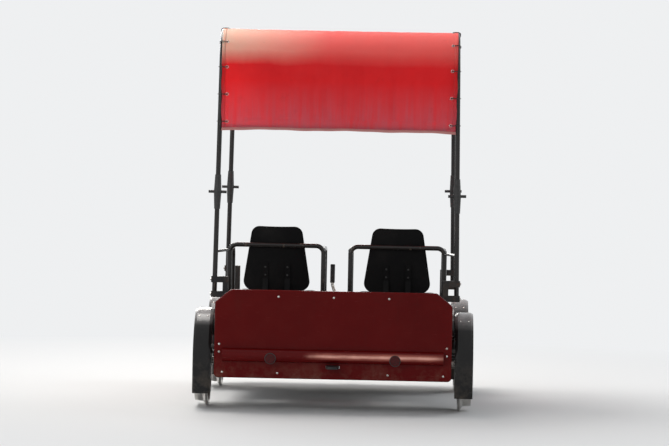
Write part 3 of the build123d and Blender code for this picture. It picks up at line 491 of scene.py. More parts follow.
def looseMesh(name, points, edges=(), faces=()):
    mesh = bpy.data.meshes.new(name)
    mesh.from_pydata([tuple(point) for point in points], list(edges), list(faces))
    return linked(name, mesh)


def finishedMesh(source):  # the plain mesh that a piece's modifiers make
    graph = bpy.context.evaluated_depsgraph_get()
    return bpy.data.meshes.new_from_object(source.evaluated_get(graph), depsgraph=graph)


def fitPiece(piece, body):
    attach(piece, body)
    return piece


def growPiece(name, source, tree, body, material, sizes):
    modifier = source.modifiers.new("grow", "NODES")
    modifier.node_group = tree
    values = {**sizes, "Material": material}
    for item in tree.interface.items_tree:
        if item.in_out == "INPUT" and item.name in values:
            modifier[item.identifier] = values[item.name]
    mesh = finishedMesh(source)
    bpy.data.objects.remove(source)
    mesh.name = name
    return fitPiece(linked(name, mesh), body)


def marked(source, label, kind, key, values):
    source.data.attributes.new(label, kind, "POINT").data.foreach_set(key, values)


def spots(name, rows):  # rows: (point, facing[, angle])
    source = looseMesh(name + ".spots", [row[0] for row in rows])
    marked(source, "facing", "FLOAT_VECTOR", "vector", [v for row in rows for v in row[1]])
    marked(source, "angle", "FLOAT", "value", [row[2] if len(row) > 2 else 0.0 for row in rows])
    return source


def addScrews(name, rows, radius, body="chassis"):
    sizes = {"Head Radius": radius, "Head Height": radius * 0.75, "Washer Radius": radius * 1.55, "Sides": 6}
    return growPiece(name, spots(name, rows), screwTree, body, plain["screwSteel"], sizes)


def addDomes(name, rows, radius, material=plain["screwSteel"]):
    sizes = {"Head Radius": radius, "Head Height": radius * 0.45}
    return growPiece(name, spots(name, rows), domeTree, "chassis", material, sizes)


def addRingRow(name, rows, radius, wire, count, slot, material=None):
    sizes = {"Ring Radius": radius, "Wire Radius": wire, "Ring Steps": count}
    return growPiece(name, spots(name, rows), ringTree, "chassis", material or finishes[slot], sizes)


def addBars(name, rows, bar, body, material):  # bar: the piece's own length, width and height
    sizes = {"Bar Length": bar["length"], "Bar Width": bar["width"], "Bar Height": bar["height"]}
    return growPiece(name, spots(name, rows), barTree, body, material, sizes)


def addBead(name, runs, radius, slot, closed=True, count=8, material=None):
    points, edges = [], []
    for run in runs:
        first = len(points)
        points += run
        edges += [(first + n, first + n + 1) for n in range(len(run) - 1)]
        if closed:
            edges.append((len(points) - 1, first))
    sizes = {"Bead Radius": radius, "Bead Sides": count}
    path = looseMesh(name + ".path", points, edges)
    return growPiece(name, path, beadTree, "chassis", material or finishes[slot], sizes)


print("trees built")


# Canopy cloth: one sheet from the rear hem over the roof to the front hem
canopy = {
    "columns": 84, "rows": 220, "wall": 0.0016, "inset": 0.0022, "bend": 0.1946, "frontHem": 1.79,
    "tubeDrop": 0.0024, "roofSag": 0.013, "bendHollow": 0.012, "backBillow": 0.01, "hemPull": 0.005,
    "sideWave": 0.002, "crease": 0.002, "hemWave": 0.003, "hemArch": 0.0055, "endRun": 0.06,
    "endFall": 0.0014, "hemRun": 0.05, "hem": 0.013, "hemOver": 0.002, "hemWall": 0.0044, "edgeFrom": 0.972,
    "edgeTo": 1.0012, "edgeStart": 0.017, "edgeWall": 0.0034,
}
sheetLow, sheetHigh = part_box("canopy_sheet")
rearY, frontY = sheetLow.y + canopy["inset"], sheetHigh.y - canopy["inset"]
roofZ, bend = sheetHigh.z - canopy["inset"], canopy["bend"]
bendZ, arc = roofZ - bend, bend * pi / 2
rearDrop, frontDrop = bendZ - sheetLow.z, bendZ - canopy["frontHem"]
flatRoof = frontY - rearY - 2 * bend
roofStart, roofEnd = rearDrop + arc, rearDrop + arc + flatRoof
clothLength = roofEnd + arc + frontDrop


def clothPath(run):  # the point (y, z) and the outward way at a length along the sheet
    if run < rearDrop:
        return rearY, sheetLow.z + run, -1.0, 0.0
    run -= rearDrop
    if run < arc:
        turn = run / bend
        return rearY + bend * (1 - cos(turn)), bendZ + bend * sin(turn), -cos(turn), sin(turn)
    run -= arc
    if run < flatRoof:
        return rearY + bend + run, roofZ, 0.0, 1.0
    run -= flatRoof
    if run < arc:
        turn = run / bend
        return frontY - bend * (1 - sin(turn)), bendZ + bend * cos(turn), sin(turn), cos(turn)
    return frontY, bendZ - (run - arc), 1.0, 0.0


def outward(run):
    return at(0, *clothPath(run)[2:])


def clothSag(run, across, y):  # how far the cloth falls inwards; across is -1 to 1
    fall = 0.0
    if roofStart <= run <= roofEnd:
        spans = zip(car["tubeYs"], car["tubeYs"][1:])
        share = next(((y - a) / (b - a) for a, b in spans if a <= y <= b), 0.0)
        fall = canopy["roofSag"] * sin(pi * share) ** 2
    elif run < rearDrop:
        fall = canopy["backBillow"] * sin(pi * min(run / rearDrop * 1.06, 1)) * 0.6
    elif run <= roofEnd + arc:
        share = (run - (rearDrop if run < roofStart else roofEnd)) / arc
        fall = canopy["bendHollow"] * sin(pi * share)
    return (canopy["tubeDrop"] + fall) * (1 - abs(across) ** 4)


def nearHems(run, rearReach, frontReach):  # for each hem 1 at the hem and 0 from its reach on
    return max(0.0, 1 - run / rearReach), max(0.0, 1 - (clothLength - run) / frontReach)


def clothCrease(run, x):  # soft upright folds, stronger near the hems
    hang = sum(nearHems(run, rearDrop * 1.15, frontDrop * 1.6))
    wave = sin(x * 31 + 0.6) + 0.6 * sin(x * 67 + 1.9) + 0.4 * sin(x * 113 + run * 5)
    return canopy["crease"] * (0.25 + 1.2 * hang) * wave


def clothPoint(run, across, lift=0.0):
    y, z, outY, outZ = clothPath(run)
    pull = canopy["hemPull"] * sum(end ** 1.3 for end in nearHems(run, rearDrop + 0.5 * arc, frontDrop + arc))
    x = across * (sheetHigh.x - pull - canopy["sideWave"] * sin(run * 44) * (run < rearDrop))
    fall = clothSag(run, across, y) - clothCrease(run, x) * (1 - abs(across) ** 6)
    if run < canopy["endRun"] or run > clothLength - canopy["endRun"]:  # the cloth lies outside its end tubes
        fall = min(fall, canopy["endFall"])
    fall -= lift
    rearEnd, frontEnd = nearHems(run, canopy["hemRun"], canopy["hemRun"])
    wave = canopy["hemWave"] * (rearEnd + frontEnd) * (sin(x * 14 + 0.8) + 0.4 * sin(x * 39)) * 0.6
    wave += canopy["hemArch"] * rearEnd * (0.7 - across ** 4)
    return at(x, y - outY * fall, z - outZ * fall + wave)


def steps(start, end, count):
    return [start + (end - start) * n / count for n in range(count + 1)]


def clothPiece(name, runs, acrosses, wall, material):  # a grid on the cloth's own surface, given a thickness
    wide = len(acrosses)
    faces = [(r * wide + c, r * wide + c + 1, (r + 1) * wide + c + 1, (r + 1) * wide + c)
             for r in range(len(runs) - 1) for c in range(wide - 1)]
    piece = looseMesh(name, [clothPoint(run, across) for run in runs for across in acrosses], faces=faces)
    cloth = piece.data.uv_layers.new(name="cloth")
    for loop in piece.data.loops:
        row, column = divmod(loop.vertex_index, wide)
        cloth.data[loop.index].uv = (acrosses[column] * sheetHigh.x, runs[row])
    for face in piece.data.polygons:
        face.use_smooth = True
    piece.data.materials.append(material)
    solidify = piece.modifiers.new("wall", "SOLIDIFY")
    solidify.thickness, solidify.offset = wall, 0.0
    mesh = finishedMesh(piece)
    piece.modifiers.clear()
    piece.data = mesh
    return fitPiece(piece, "chassis")


def hangCloth():
    red, hem, past = finishes["canopy_cloth"], canopy["hem"], canopy["hemOver"]
    columns = steps(-1, 1, canopy["columns"])
    cloth = clothPiece("canopyCloth", steps(0, clothLength, canopy["rows"]), columns, canopy["wall"], red)
    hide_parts("canopy_sheet")
    columns, hems = steps(-1.001, 1.001, canopy["columns"]), []
    for end, runs in (("Rear", (-past, hem)), ("Front", (clothLength - hem, clothLength + past))):
        runs = steps(*runs, 3)
        hems.append(clothPiece("canopyHem" + end, runs, columns, canopy["hemWall"], plain["hemPale"]))
    runs = steps(canopy["edgeStart"], clothLength - canopy["edgeStart"], canopy["rows"])
    for side, way in sides.items():
        edge = steps(*sorted((way * canopy["edgeFrom"], way * canopy["edgeTo"])), 3)
        hems.append(clothPiece("canopyEdge" + side.title(), runs, edge, canopy["edgeWall"], red))


hangCloth()
print("canopy cloth hung")


# Stitches, eyelets and lashings on the cloth
trimmings = {
    "stitchStep": 0.0085, "stitchRun": 0.0095, "stitchAcross": 0.976, "length": 0.006, "width": 0.0013,
    "height": 0.0009, "eyeletStep": 0.155, "eyeletRun": 0.045, "eyeletAcross": 0.957, "eyeletRadius": 0.0072,
    "eyeletWire": 0.0017, "cordRadius": 0.0021, "wrapOver": 0.019, "wrapUnder": 0.0158,
    "postRadius": 0.0135, "footX": 0.671, "footZ": 0.596, "lean": 0.8,
}


def postX(z):
    return trimmings["footX"] - (z - trimmings["footZ"]) * sin(radians(trimmings["lean"]))


def alongWay(first, second, normal):  # the turn about the normal that lays an instance's X along a line
    flat = up.rotation_difference(normal).inverted() @ (second - first).normalized()
    return atan2(flat.y, flat.x)


def stitchRow(places):  # places: (run, across, lift) along one seam
    points = [(clothPoint(*spot), outward(spot[0])) for spot in places]
    return [(here, way, alongWay(before[0], here, way)) for before, (here, way) in zip(points, points[1:])]


def addStitches():
    rows, step, first, edge = [], *(trimmings["stitch" + key] for key in ("Step", "Run", "Across"))
    acrosses = steps(-0.985, 0.985, int(2 * sheetHigh.x / step))
    runs = steps(0.03, clothLength - 0.03, int((clothLength - 0.06) / step))
    for run in (first, clothLength - first):
        rows += stitchRow([(run, across, 0.0026) for across in acrosses])
    for across in (-edge, edge):
        rows += stitchRow([(run, across, 0.0017) for run in runs])
    addBars("canopyStitches", rows, trimmings, "chassis", plain["sewingThread"])


def lashingLoop(eye, centre, way, out):  # from the eyelet over the cloth's edge, round the tube and back
    reach, rise = (eye.x - centre.x) * way, (eye - centre).dot(out)
    path = [(reach, rise + 0.0036), (reach * 0.55, rise + 0.004)]
    for turn in range(95, -106, -20):
        far = trimmings["wrapOver"] if turn > 20 else trimmings["wrapUnder"]
        path.append((far * cos(radians(turn)), far * sin(radians(turn))))
    path += [(reach * 0.6, rise - 0.0075), (reach + 0.0006, rise - 0.0035), (reach - 0.0012, rise)]
    return [centre + at(way * u, 0, 0) + out * w for u, w in path]


def addEyelets():
    eyes, loops, first = [], [], trimmings["eyeletRun"]
    inset = roofZ - (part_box("canopy_hoops")[1].z - trimmings["postRadius"])
    for way in ways:
        for run in steps(first, clothLength - first, int(clothLength / trimmings["eyeletStep"])):
            y, z, outY, outZ = clothPath(run)
            eye, out = clothPoint(run, way * trimmings["eyeletAcross"], 0.0012), outward(run)
            centreZ = z - outZ * inset
            loops.append(lashingLoop(eye, at(way * postX(centreZ), y - outY * inset, centreZ), way, out))
            eyes.append((eye, out))
    radius, wire = trimmings["eyeletRadius"], trimmings["eyeletWire"]
    addRingRow("canopyEyelets", eyes, radius, wire, 18, "axle_steel", plain["screwSteel"])
    addBead("canopyLashings", loops, trimmings["cordRadius"], "canopy_cloth", material=plain["lashingCord"])


addStitches()
addEyelets()
print("cloth trimmed")


# Round beads on the moulded edges
shell = {  # the seat shells, as their solids have them
    "radius": 0.43, "lowHalf": 0.189, "topHalf": 0.134, "height": 0.36, "corner": 0.045, "recline": 8.0,
    "panWidth": 0.43, "panDepth": 0.42, "panCorner": 0.07, "dish": 1.15, "panFloor": 0.566, "panRear": -0.285,
    "inWall": 0.004, "backBead": 0.0052, "panBead": 0.0056,
}
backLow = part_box("seat_backs")[0]


def flipped(vector):  # the same on the other side of the car
    return at(-vector.x, vector.y, vector.z)


def onCircle(x, y, z, radius, angle):
    return at(x, y + radius * cos(angle), z + radius * sin(angle))


def roundedRing(corners, radius, count=7):  # a closed outline with round corners
    ring = []
    for n, here in enumerate(corners):
        a, b = ((corners[(n + k) % len(corners)] - here).normalized() for k in (-1, 1))
        half = a.angle(b) / 2
        centre, slope = here + (a + b).normalized() * radius / sin(half), sin(half) / cos(half)
        start, end = (here + way * radius / slope - centre for way in (a, b))
        ring += [centre + start.slerp(end, k / count).normalized() * radius for k in range(count + 1)]
    return ring


def denser(ring, longest=0.02):  # more points on the straight runs
    points = []
    for n, here in enumerate(ring):
        after = ring[(n + 1) % len(ring)]
        parts = max(1, int((after - here).length / longest))
        points += [here.lerp(after, k / parts) for k in range(parts)]
    return points


def backPoint(x, h):  # a point in a seat back's wall, for the seat on the right
    lean = radians(shell["recline"])
    depth = shell["radius"] - (shell["radius"] ** 2 - x * x) ** 0.5 + shell["inWall"]
    y = backLow.y + shell["height"] * sin(lean) + depth * cos(lean) - h * sin(lean)
    return at(car["seatX"] + x, y, backLow.z + depth * sin(lean) + h * cos(lean))


def addSeatBeads():
    low, top, tall = shell["lowHalf"], shell["topHalf"], shell["height"]
    corners = [Vector(corner) for corner in ((-low, 0), (low, 0), (top, tall), (-top, tall))]
    backs = [backPoint(p.x, p.y) for p in denser(roundedRing(corners, shell["corner"]))]
    halfX, halfY = shell["panWidth"] / 2, shell["panDepth"] / 2
    corners = [Vector((x * halfX, y * halfY)) for x, y in ((-1, -1), (1, -1), (1, 1), (-1, 1))]
    pans = []
    for p in denser(roundedRing(corners, shell["panCorner"])):
        rise = shell["dish"] - (shell["dish"] ** 2 - p.length_squared) ** 0.5
        z = shell["panFloor"] + rise + shell["inWall"]
        pans.append(at(car["seatX"] + p.x, shell["panRear"] + halfY + p.y, z))
    for name, ring, radius in (("seatBackRims", backs, "backBead"), ("seatPanRims", pans, "panBead")):
        addBead(name, [ring, [flipped(p) for p in ring]], shell[radius], "seat_black", count=10)


def addGuardBeads():
    guard = {"lip": 0.265, "start": 25.0, "outX": 0.76, "inX": 0.666, "flap": 0.09, "bead": 0.003}
    lip, runs = guard["lip"], []
    for way, y, key in [(way, y, key) for way in ways for y in axles.values() for key in ("outX", "inX")]:
        x = way * guard[key]
        run = [onCircle(x, y, car["axleZ"], lip, radians(a)) for a in steps(guard["start"], 180, 36)]
        runs.append(run + [at(x, y - lip, guard["flap"])])
    addBead("guardBeads", runs, guard["bead"], "guard_black", closed=False)


addSeatBeads()
addGuardBeads()
print("edges beaded")


# Screws and rivets
def placesOn(*groups):  # groups: the X, Y and Z values of a row or grid of places, and their facing
    return [(at(x, y, z), facing) for xs, ys, zs, facing in groups for x in xs for y in ys for z in zs]


def bothSides(rows):  # repeats rows of the right side on the left, but none on the middle line
    return rows + [(flipped(point), flipped(facing)) for point, facing in rows if point.x > 0]


def addPanelScrews():
    panel = {"topXs": (0.0, 0.3), "lowXs": (0.3, 0.6), "rise": 0.03, "bossX": 0.618, "bossZs": (0.32, 0.362),
             "sideYs": (-0.88, -0.72, -0.3, -0.18, 0.02, 0.22, 0.42, 0.6, 0.88), "sideZ": 0.345}
    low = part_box("rear_panel")[0].z + panel["rise"]
    rows = placesOn(((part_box("side_panels")[1].x,), panel["sideYs"], (panel["sideZ"],), right))
    for node, corner, facing, top in (("rear_panel", 0, rear, 0.625), ("front_panel", 1, ahead, 0.525)):
        ys = (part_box(node)[corner].y,)
        rows += placesOn((panel["topXs"], ys, (top,), facing), (panel["lowXs"], ys, (low,), facing),
                         ((panel["bossX"],), ys, panel["bossZs"], facing))
    addDomes("panelScrews", bothSides(rows), 0.0065)


def addFrameBolts():
    feet = [y + dy for y in axles.values() for dy in (-0.052, 0.052)]
    addScrews("frameBolts", bothSides(placesOn(
        ((car["railX"],), feet, (0.286,), -up),  # bearing feet, from below
        ((0.6885,), car["postYs"], (0.613, 0.695), right),  # post uprights, on their outer faces
        ((car["faceX"],), car["postYs"], (0.42, 0.48, 0.56), right),
        ((0.62,), car["legYs"], (0.415,), right), ((car["faceX"],), car["legYs"], (0.52,), right),
        ((car["seatX"] - 0.006,), (-0.21, -0.09), (0.5,), -up))), 0.0065)  # seat pans to their ties


def addStrapScrews():
    strap = {"apart": 0.062, "footY": -0.2937, "footZ": 0.522, "zs": (0.71, 0.755), "topZ": 0.78, "lean": 0.14}
    xs = (car["seatX"] - strap["apart"], car["seatX"] + strap["apart"])
    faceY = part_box("back_straps")[0].y + 0.001
    rows = placesOn((xs, (strap["footY"],), (strap["footZ"],), ahead))
    for z in strap["zs"]:  # the strap leans back, so its face is further to the rear higher up
        y = faceY + (strap["topZ"] - z) * strap["lean"]
        rows += placesOn((xs, (y,), (z,), at(0, -0.99, -strap["lean"])))
    addDomes("strapScrews", bothSides(rows), 0.006, finishes["clamp_black"])


def addGuardScrews():
    guard = {"endX": 0.668, "endRadius": 0.2785, "endAngles": (29, 160),
             "crownXs": (0.69, 0.736), "crownRadius": 0.292, "crownAngles": (60, 90, 120)}
    rows = []
    for y in axles.values():
        for a in map(radians, guard["endAngles"]):
            rows.append((onCircle(guard["endX"], y, car["axleZ"], guard["endRadius"], a), right))
        for a in map(radians, guard["crownAngles"]):  # rivets along the crown
            for x in guard["crownXs"]:
                rows.append((onCircle(x, y, car["axleZ"], guard["crownRadius"], a), at(0, cos(a), sin(a))))
    addDomes("guardRivets", bothSides(rows), 0.005)


def addDeckScrews():
    addDomes("deckScrews", bothSides(placesOn(
        ((car["railX"],), (-0.9, -0.8, -0.68, -0.5, -0.38), (0.384,), up),  # the deck's sides
        ((0.1, 0.28, 0.46), (-0.905,), (0.384,), up),  # the deck's rear edge
        ((0.565,), (0.0, 0.16, 0.4, 0.56, 0.8), (0.3,), up))), 0.0055)  # the foot plate's sides


def boltRing(way, x, y, z, radius, count, start=0.0):  # bolts round an axle, facing outwards
    turns = [2 * pi * (n + start) / count for n in range(count)]
    return [(onCircle(way * x, y, z, radius, a), at(way, 0, 0)) for a in turns]


def addDriveBolts():
    drive = {"wheelFace": 0.291, "circle": 0.03, "pin": 0.088, "hubFace": 0.7284, "hubCircle": 0.07}
    crankY, crankZ = car["crankY"], car["crankZ"]
    for hand, way in sides.items():
        bolts = boltRing(way, drive["wheelFace"], crankY, crankZ, drive["circle"], 5, 0.5)
        addScrews("chainWheelBolts" + hand.title(), bolts, 0.0045, "crank_" + hand)
        middle = way * car["seatX"]
        ends = [(at(middle + turn * drive["pin"], crankY, crankZ), at(turn, 0, 0)) for turn in ways]
        addScrews("crankNuts" + hand.title(), ends, 0.008, "crank_" + hand)
    for end, y in axles.items():
        nuts = [boltRing(way, drive["hubFace"], y, car["axleZ"], drive["hubCircle"], 6) for way in ways]
        addScrews("hubNuts" + end.title(), nuts[0] + nuts[1], 0.0062, end + "_axle")


addPanelScrews()
addFrameBolts()
addStrapScrews()
addGuardScrews()
addDeckScrews()
addDriveBolts()
print("screws set")


# Tread bars on the foot plate and the deck
def addTread():
    tread = {"step": 0.034, "length": 0.026, "width": 0.0072, "height": 0.0015, "edge": 0.022,
             "deckEdge": 0.035, "beam": 0.034, "beamYs": (-0.1, 0.32, 0.73, 0.905)}
    taken = [  # x from and to on the right, y from and to: slots, crank beams, brackets
        (0.255, 0.32, 0.53, 0.74), (0.305, 0.375, 0.33, 0.72), (0.0, 0.03, -0.14, -0.06),
    ] + [(-1.0, 1.0, y - tread["beam"], y + tread["beam"]) for y in tread["beamYs"]]
    edge, step, rows = tread["edge"], tread["step"], []
    for node, isFloor in (("floor_plate", True), ("rear_deck", False)):
        low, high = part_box(node)
        halfX = high.x - edge - (0.0 if isFloor else tread["deckEdge"])
        ys = steps(low.y + edge, high.y - edge, int((high.y - low.y - 2 * edge) / step))
        for i, x in enumerate(steps(-halfX, halfX, int(2 * halfX / step))):
            for j, y in enumerate(ys):
                if not isFloor or not any(a < abs(x) < b and c < y < d for a, b, c, d in taken):
                    rows.append((at(x, y, high.z), up, pi / 4 if (i + j) % 2 else -pi / 4))
    addBars("treadBars", rows, tread, "chassis", plain["treadWorn"])


addTread()
print("tread laid")


# Welds, bezels, seals, caps and nipples
def squareLoop(centre, halfA, halfB, axis):  # round a square tube's end, across one axis, with cut corners
    a, b = [(1, 2), (0, 2), (0, 1)][axis]
    corners = []
    for u, w in ((-1, -1), (1, -1), (1, 1), (-1, 1)):
        corner = centre.copy()
        corner[a] += u * halfA
        corner[b] += w * halfB
        corners.append(corner)
    return [here.lerp(corners[(n + k) % 4], 0.05) for n, here in enumerate(corners) for k in (-1, 1)]


def addWelds():
    weld = {"bead": 0.0024, "footRing": 0.014, "footX": 0.264, "footZ": 0.5406}
    seatX, leg, beam, stand = car["seatX"], (0.0205, 0.0205), (0.0205, 0.02), (0.0182, 0.0182)
    joints = (  # X, Y values, Z values, half sizes and axis
        (car["railX"], car["legYs"], (0.3812, 0.4988), leg, 2),  # legs, on the rail and under the seat tube
        (seatX, (-0.2994, 0.0494), (0.52,), leg, 1),  # seat ties, on the seat tubes
        (0.5744, (-0.905, -0.48, -0.1, 0.32, 0.73, 0.905), (0.3205,), beam, 0),  # cross beams, on the rails
        (seatX, (car["crankY"],), (0.3406,), stand, 2),  # crank stands, on their beams
        (seatX, (0.3406, 0.7094), (0.3205,), beam, 1))  # crank beams, on the cross beams
    loops = [squareLoop(at(way * x, y, z), *half, axis)
             for way in ways for x, ys, zs, half, axis in joints for y in ys for z in zs]
    addBead("squareWelds", loops, weld["bead"], "frame_steel")
    feet = placesOn(((seatX - weld["footX"], seatX + weld["footX"]), car["legYs"], (weld["footZ"],), up))
    addRingRow("tubeWelds", bothSides(feet), weld["footRing"], weld["bead"], 22, "tube_steel")


def addRings():
    face = {"reflectorXs": (-0.338, 0.338), "reflectorY": -0.9925, "reflectorZ": 0.291, "tubeInset": 0.015,
            "sealXs": (-0.6178, -0.5822, 0.5822, 0.6178), "roofTubeZ": 2.073, "postTubeZs": (1.545, 1.81)}
    ends = [(y, face["roofTubeZ"]) for y in car["tubeYs"]] + list(zip(car["postYs"], face["postTubeZs"]))
    bezels = placesOn((face["reflectorXs"], (face["reflectorY"],), (face["reflectorZ"],), rear))
    seals = placesOn((face["sealXs"], axles.values(), (car["axleZ"],), right))
    tubes = [(at(way * (postX(z) - face["tubeInset"]), y, z), right) for way in ways for y, z in ends]
    for name, rows, radius, wire, slot in (("reflectorBezels", bezels, 0.0285, 0.0024, "clamp_black"),
                                           ("bearingSeals", seals, 0.0252, 0.0026, "pedal_rubber"),
                                           ("crossTubeWelds", tubes, 0.012, 0.0026, "tube_steel")):
        addRingRow(name, rows, radius, wire, 28, slot)


def addCaps():
    caps = [(at(way * 0.6252, y, 0.52), at(way, 0, 0), pi / 4) for way in ways for y in car["legYs"]]
    nipples = placesOn(((-car["railX"], car["railX"]), axles.values(), (0.2102,), -up))
    for name, rows, slot, material, head in (
            ("tubeCaps", caps, "clamp_black", finishes["clamp_black"], (0.0262, 0.003, 0.0001, 4)),
            ("greaseNipples", nipples, "axle_steel", plain["screwSteel"], (0.0042, 0.009, 0.006, 6))):
        sizes = dict(zip(("Head Radius", "Head Height", "Washer Radius", "Sides"), head))
        growPiece(name, spots(name, rows), screwTree, "chassis", material, sizes)


addWelds()
addRings()
addCaps()
print("welds and rings laid")


# Roller chains, link by link
def addChains():
    chain = {
        "pitch": 0.01905, "bigTeeth": 28, "smallTeeth": 14, "x": car["seatX"] - 0.052, "waist": 0.005,
        "round": 0.0086, "plate": 0.0013, "innerX": 0.0044, "outerX": 0.0061, "roller": 0.0052, "pin": 0.0026,
        "pinOver": 0.0009,
    }
    pitch, thick, roundness = chain["pitch"], chain["plate"], chain["round"]
    big, small = (pitch / (2 * sin(pi / chain[teeth])) for teeth in ("bigTeeth", "smallTeeth"))
    axle, crank = (car["axleY"], car["axleZ"]), (car["crankY"], car["crankZ"])
    runY, runZ = axle[0] - crank[0], axle[1] - crank[1]
    spacing, heading = hypot(runY, runZ), atan2(runZ, runY)
    lean = asin((big - small) / spacing)
    straight, bigArc, smallArc = spacing * cos(lean), big * (pi + 2 * lean), small * (pi - 2 * lean)
    total = 2 * straight + bigArc + smallArc
    links = 2 * round(total / pitch / 2)
    below, above = heading - (pi / 2 - lean), heading + pi / 2 - lean
    legs = (  # length, radius, centre, start angle and whether it bends
        (smallArc, small, axle, below, True), (straight, small, axle, above, False),
        (bigArc, big, crank, above, True), (straight, big, crank, below, False))
    ends = [radians(turn) for turn in range(-110, 111, 20)]
    plate = [(pitch / 2 + roundness * cos(a), roundness * sin(a)) for a in ends] + [(0.0, chain["waist"])]
    plate += [(-y, -z) for y, z in plate]

    def pinAt(distance):
        for length, radius, centre, start, bends in legs:
            if distance <= length:
                break
            distance -= length
        angle = start + (distance / radius if bends else 0.0)
        y, z = centre[0] + radius * cos(angle), centre[1] + radius * sin(angle)
        if not bends:
            y, z = y + distance * cos(angle + pi / 2), z + distance * sin(angle + pi / 2)
        return at(0, y, z)

    def linkShape(name, plateX, barRadius, barHalf):
        points, faces = [], []

        def prism(ring, low, high):
            first, count = len(points), len(ring)
            last = first + count
            points.extend([(x, a, b) for x in (low, high) for a, b in ring])
            faces.extend([[first + n for n in reversed(range(count))], [last + n for n in range(count)]])
            for n in range(count):
                after = (n + 1) % count
                faces.append([first + n, first + after, last + after, last + n])

        for way in ways:
            prism(plate, *sorted((way * plateX, way * (plateX + thick))))
            turns = [2 * pi * n / 10 for n in range(10)]
            bar = [(way * pitch / 2 + barRadius * cos(a), barRadius * sin(a)) for a in turns]
            prism(bar, -barHalf, barHalf)
        return looseMesh(name, points, faces=faces)

    innerX, outerX, pieces = chain["innerX"] - thick, chain["outerX"] - thick, []
    for first, name, sizes in ((0, "Inner", (innerX, chain["roller"], innerX)),
                               (1, "Outer", (outerX, chain["pin"], chain["outerX"] + chain["pinOver"]))):
        shape, rows = linkShape("link" + name, *sizes), []
        for way in ways:
            for n in range(first, links, 2):
                a, b = pinAt(n * total / links), pinAt((n + 1) % links * total / links)
                middle = (a + b) / 2
                middle.x = way * chain["x"]
                rows.append((middle, atan2(b.z - a.z, b.y - a.y)))
        name = f"chain{name}Links"
        source = looseMesh(name + ".spots", [row[0] for row in rows])
        marked(source, "turn", "FLOAT", "value", [row[1] for row in rows])
        steel = finishes["chain_steel"]
        pieces.append(growPiece(name, source, linkTree, "chassis", steel, {"Shape": shape}))
        bpy.data.objects.remove(shape)
    for piece in pieces:
        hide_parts("chains")


addChains()
print("chains linked")


# Hand-brake grip and pedal studs
def addGrip():
    grip = {"x": -0.028, "low": (-0.0585, 0.662), "top": (-0.041, 0.7655), "radius": 0.0128, "rib": 0.0016}
    start, end = (at(grip["x"], *grip[key]) for key in ("low", "top"))
    rows = [(start.lerp(end, share), (end - start).normalized()) for share in steps(0.06, 0.94, 12)]
    addBead("leverGrip", [[start, end]], grip["radius"], "pedal_rubber", closed=False, count=24)
    addRingRow("leverGripRibs", rows, grip["radius"], grip["rib"], 24, "pedal_rubber")


def addPedalStuds():
    stud = {"length": 0.0105, "width": 0.0058, "height": 0.0024, "ys": (-0.036, -0.0405, 0.036, 0.0405)}
    for hand, where in [(hand, where) for hand in sides for where in ("inner", "outer")]:
        body = f"pedal_{hand}_{where}"
        low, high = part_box(body)
        middle = (low + high) / 2
        xs = [middle.x + share * 0.1 for share in (-0.3, -0.1, 0.1, 0.3)]
        rows = [(at(x, middle.y + y, z), facing, pi / 2)
                for y in stud["ys"] for z, facing in ((high.z, up), (low.z, -up)) for x in xs]
        name = f"pedalStuds{hand.title()}{where.title()}"
        addBars(name, rows, stud, body, finishes["pedal_rubber"])


addGrip()
addPedalStuds()
print("grips ribbed")


# Studio
studio = {
    "eye": (0.34, -18.05, 1.58), "aim": (-0.012, -0.6, 1.02), "lens": 170.0, "roll": 1.15, "floorHalf": 60,
    "floor": (0.6, 0.6, 0.595), "backdrop": (0.86, 0.87, 0.88), "world": (0.62, 0.64, 0.67),
    "fade": (1.6, 5.0),
}


def showBackdrop(kind, near, end, cover=None):  # to the camera and to mirrored rays
    rays = addStep("ShaderNodeLightPath").outputs
    seen = sums("MAXIMUM", rays["Is Camera Ray"], rays["Is Glossy Ray"])
    shown = addStep(kind, {"Color": tint(studio["backdrop"]), "Strength": 1.0})
    share = seen if cover is None else times(seen, cover)
    both = addStep("ShaderNodeMixShader", {0: share, 1: near.outputs[0], 2: shown.outputs[0]})
    join(both.outputs[0], end.inputs[0])


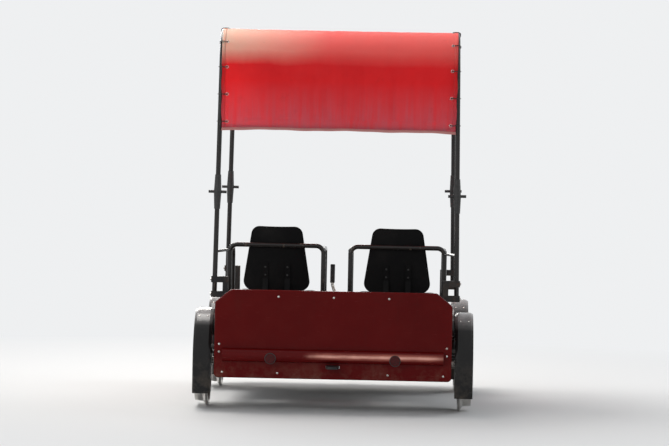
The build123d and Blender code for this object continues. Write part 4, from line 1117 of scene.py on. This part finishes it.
def makeStudio():
    half = studio["floorHalf"]
    corners = [(-half, -half, 0), (half, -half, 0), (half, half, 0), (-half, half, 0)]
    floor = looseMesh("studioFloor", corners, faces=[(0, 1, 2, 3)])
    material, shader = newFinish("studioFloor", 0.85, level=0.2)
    shader.inputs["Base Color"].default_value = tint(studio["floor"])
    away = addStep("ShaderNodeVectorMath", {0: place()}, operation="LENGTH").outputs["Value"]
    fade = window(away, *studio["fade"])
    showBackdrop("ShaderNodeEmission", shader, material.node_tree.nodes["Material Output"], fade)
    floor.data.materials.append(material)
    world = bpy.data.worlds.new("studioWorld")
    world.use_nodes = True
    work["tree"], nodes = world.node_tree, world.node_tree.nodes
    nodes["Background"].inputs["Color"].default_value = tint(studio["world"])
    nodes["Background"].inputs["Strength"].default_value = 0.75
    showBackdrop("ShaderNodeBackground", nodes["Background"], nodes["World Output"])
    bpy.context.scene.world = world


def addLamp(name, spot, target, width, height, watts, colour=(1, 1, 1)):
    light = bpy.data.lights.new(name, "AREA")
    light.shape = "RECTANGLE"
    light.size, light.size_y, light.energy, light.color = width, height, watts, colour
    lamp = linked(name, light)
    lamp.location = spot
    lamp.rotation_euler = (Vector(target) - Vector(spot)).to_track_quat("-Z", "Y").to_euler()


def makeCamera():
    data = bpy.data.cameras.new("studioCamera")
    data.lens = studio["lens"]
    camera = linked("studioCamera", data)
    look = (Vector(studio["aim"]) - Vector(studio["eye"])).to_track_quat("-Z", "Y").to_matrix()
    tilted = (look @ Matrix.Rotation(radians(studio["roll"]), 3, "Z")).to_4x4()
    camera.matrix_world = Matrix.Translation(studio["eye"]) @ tilted
    bpy.context.scene.camera = camera


makeStudio()
addLamp("keyAbove", (-1.9, 1.2, 5.6), (0, -0.1, 0.9), 3.4, 2.8, 275, (1.0, 0.98, 0.95))
addLamp("behindLeft", (-4.2, -6.5, 3.0), (0, 0, 0.9), 3.0, 2.6, 80)
addLamp("frontLow", (-1.6, 6.4, 3.4), (0, -0.4, 1.4), 3.4, 2.2, 205, (1.0, 0.97, 0.93))
addLamp("rimRight", (5.0, 1.6, 3.4), (0, 0, 1.0), 2.6, 2.6, 100, (0.96, 0.98, 1.0))
makeCamera()
bpy.context.scene.view_settings.view_transform = "Standard"
print("studio lit")
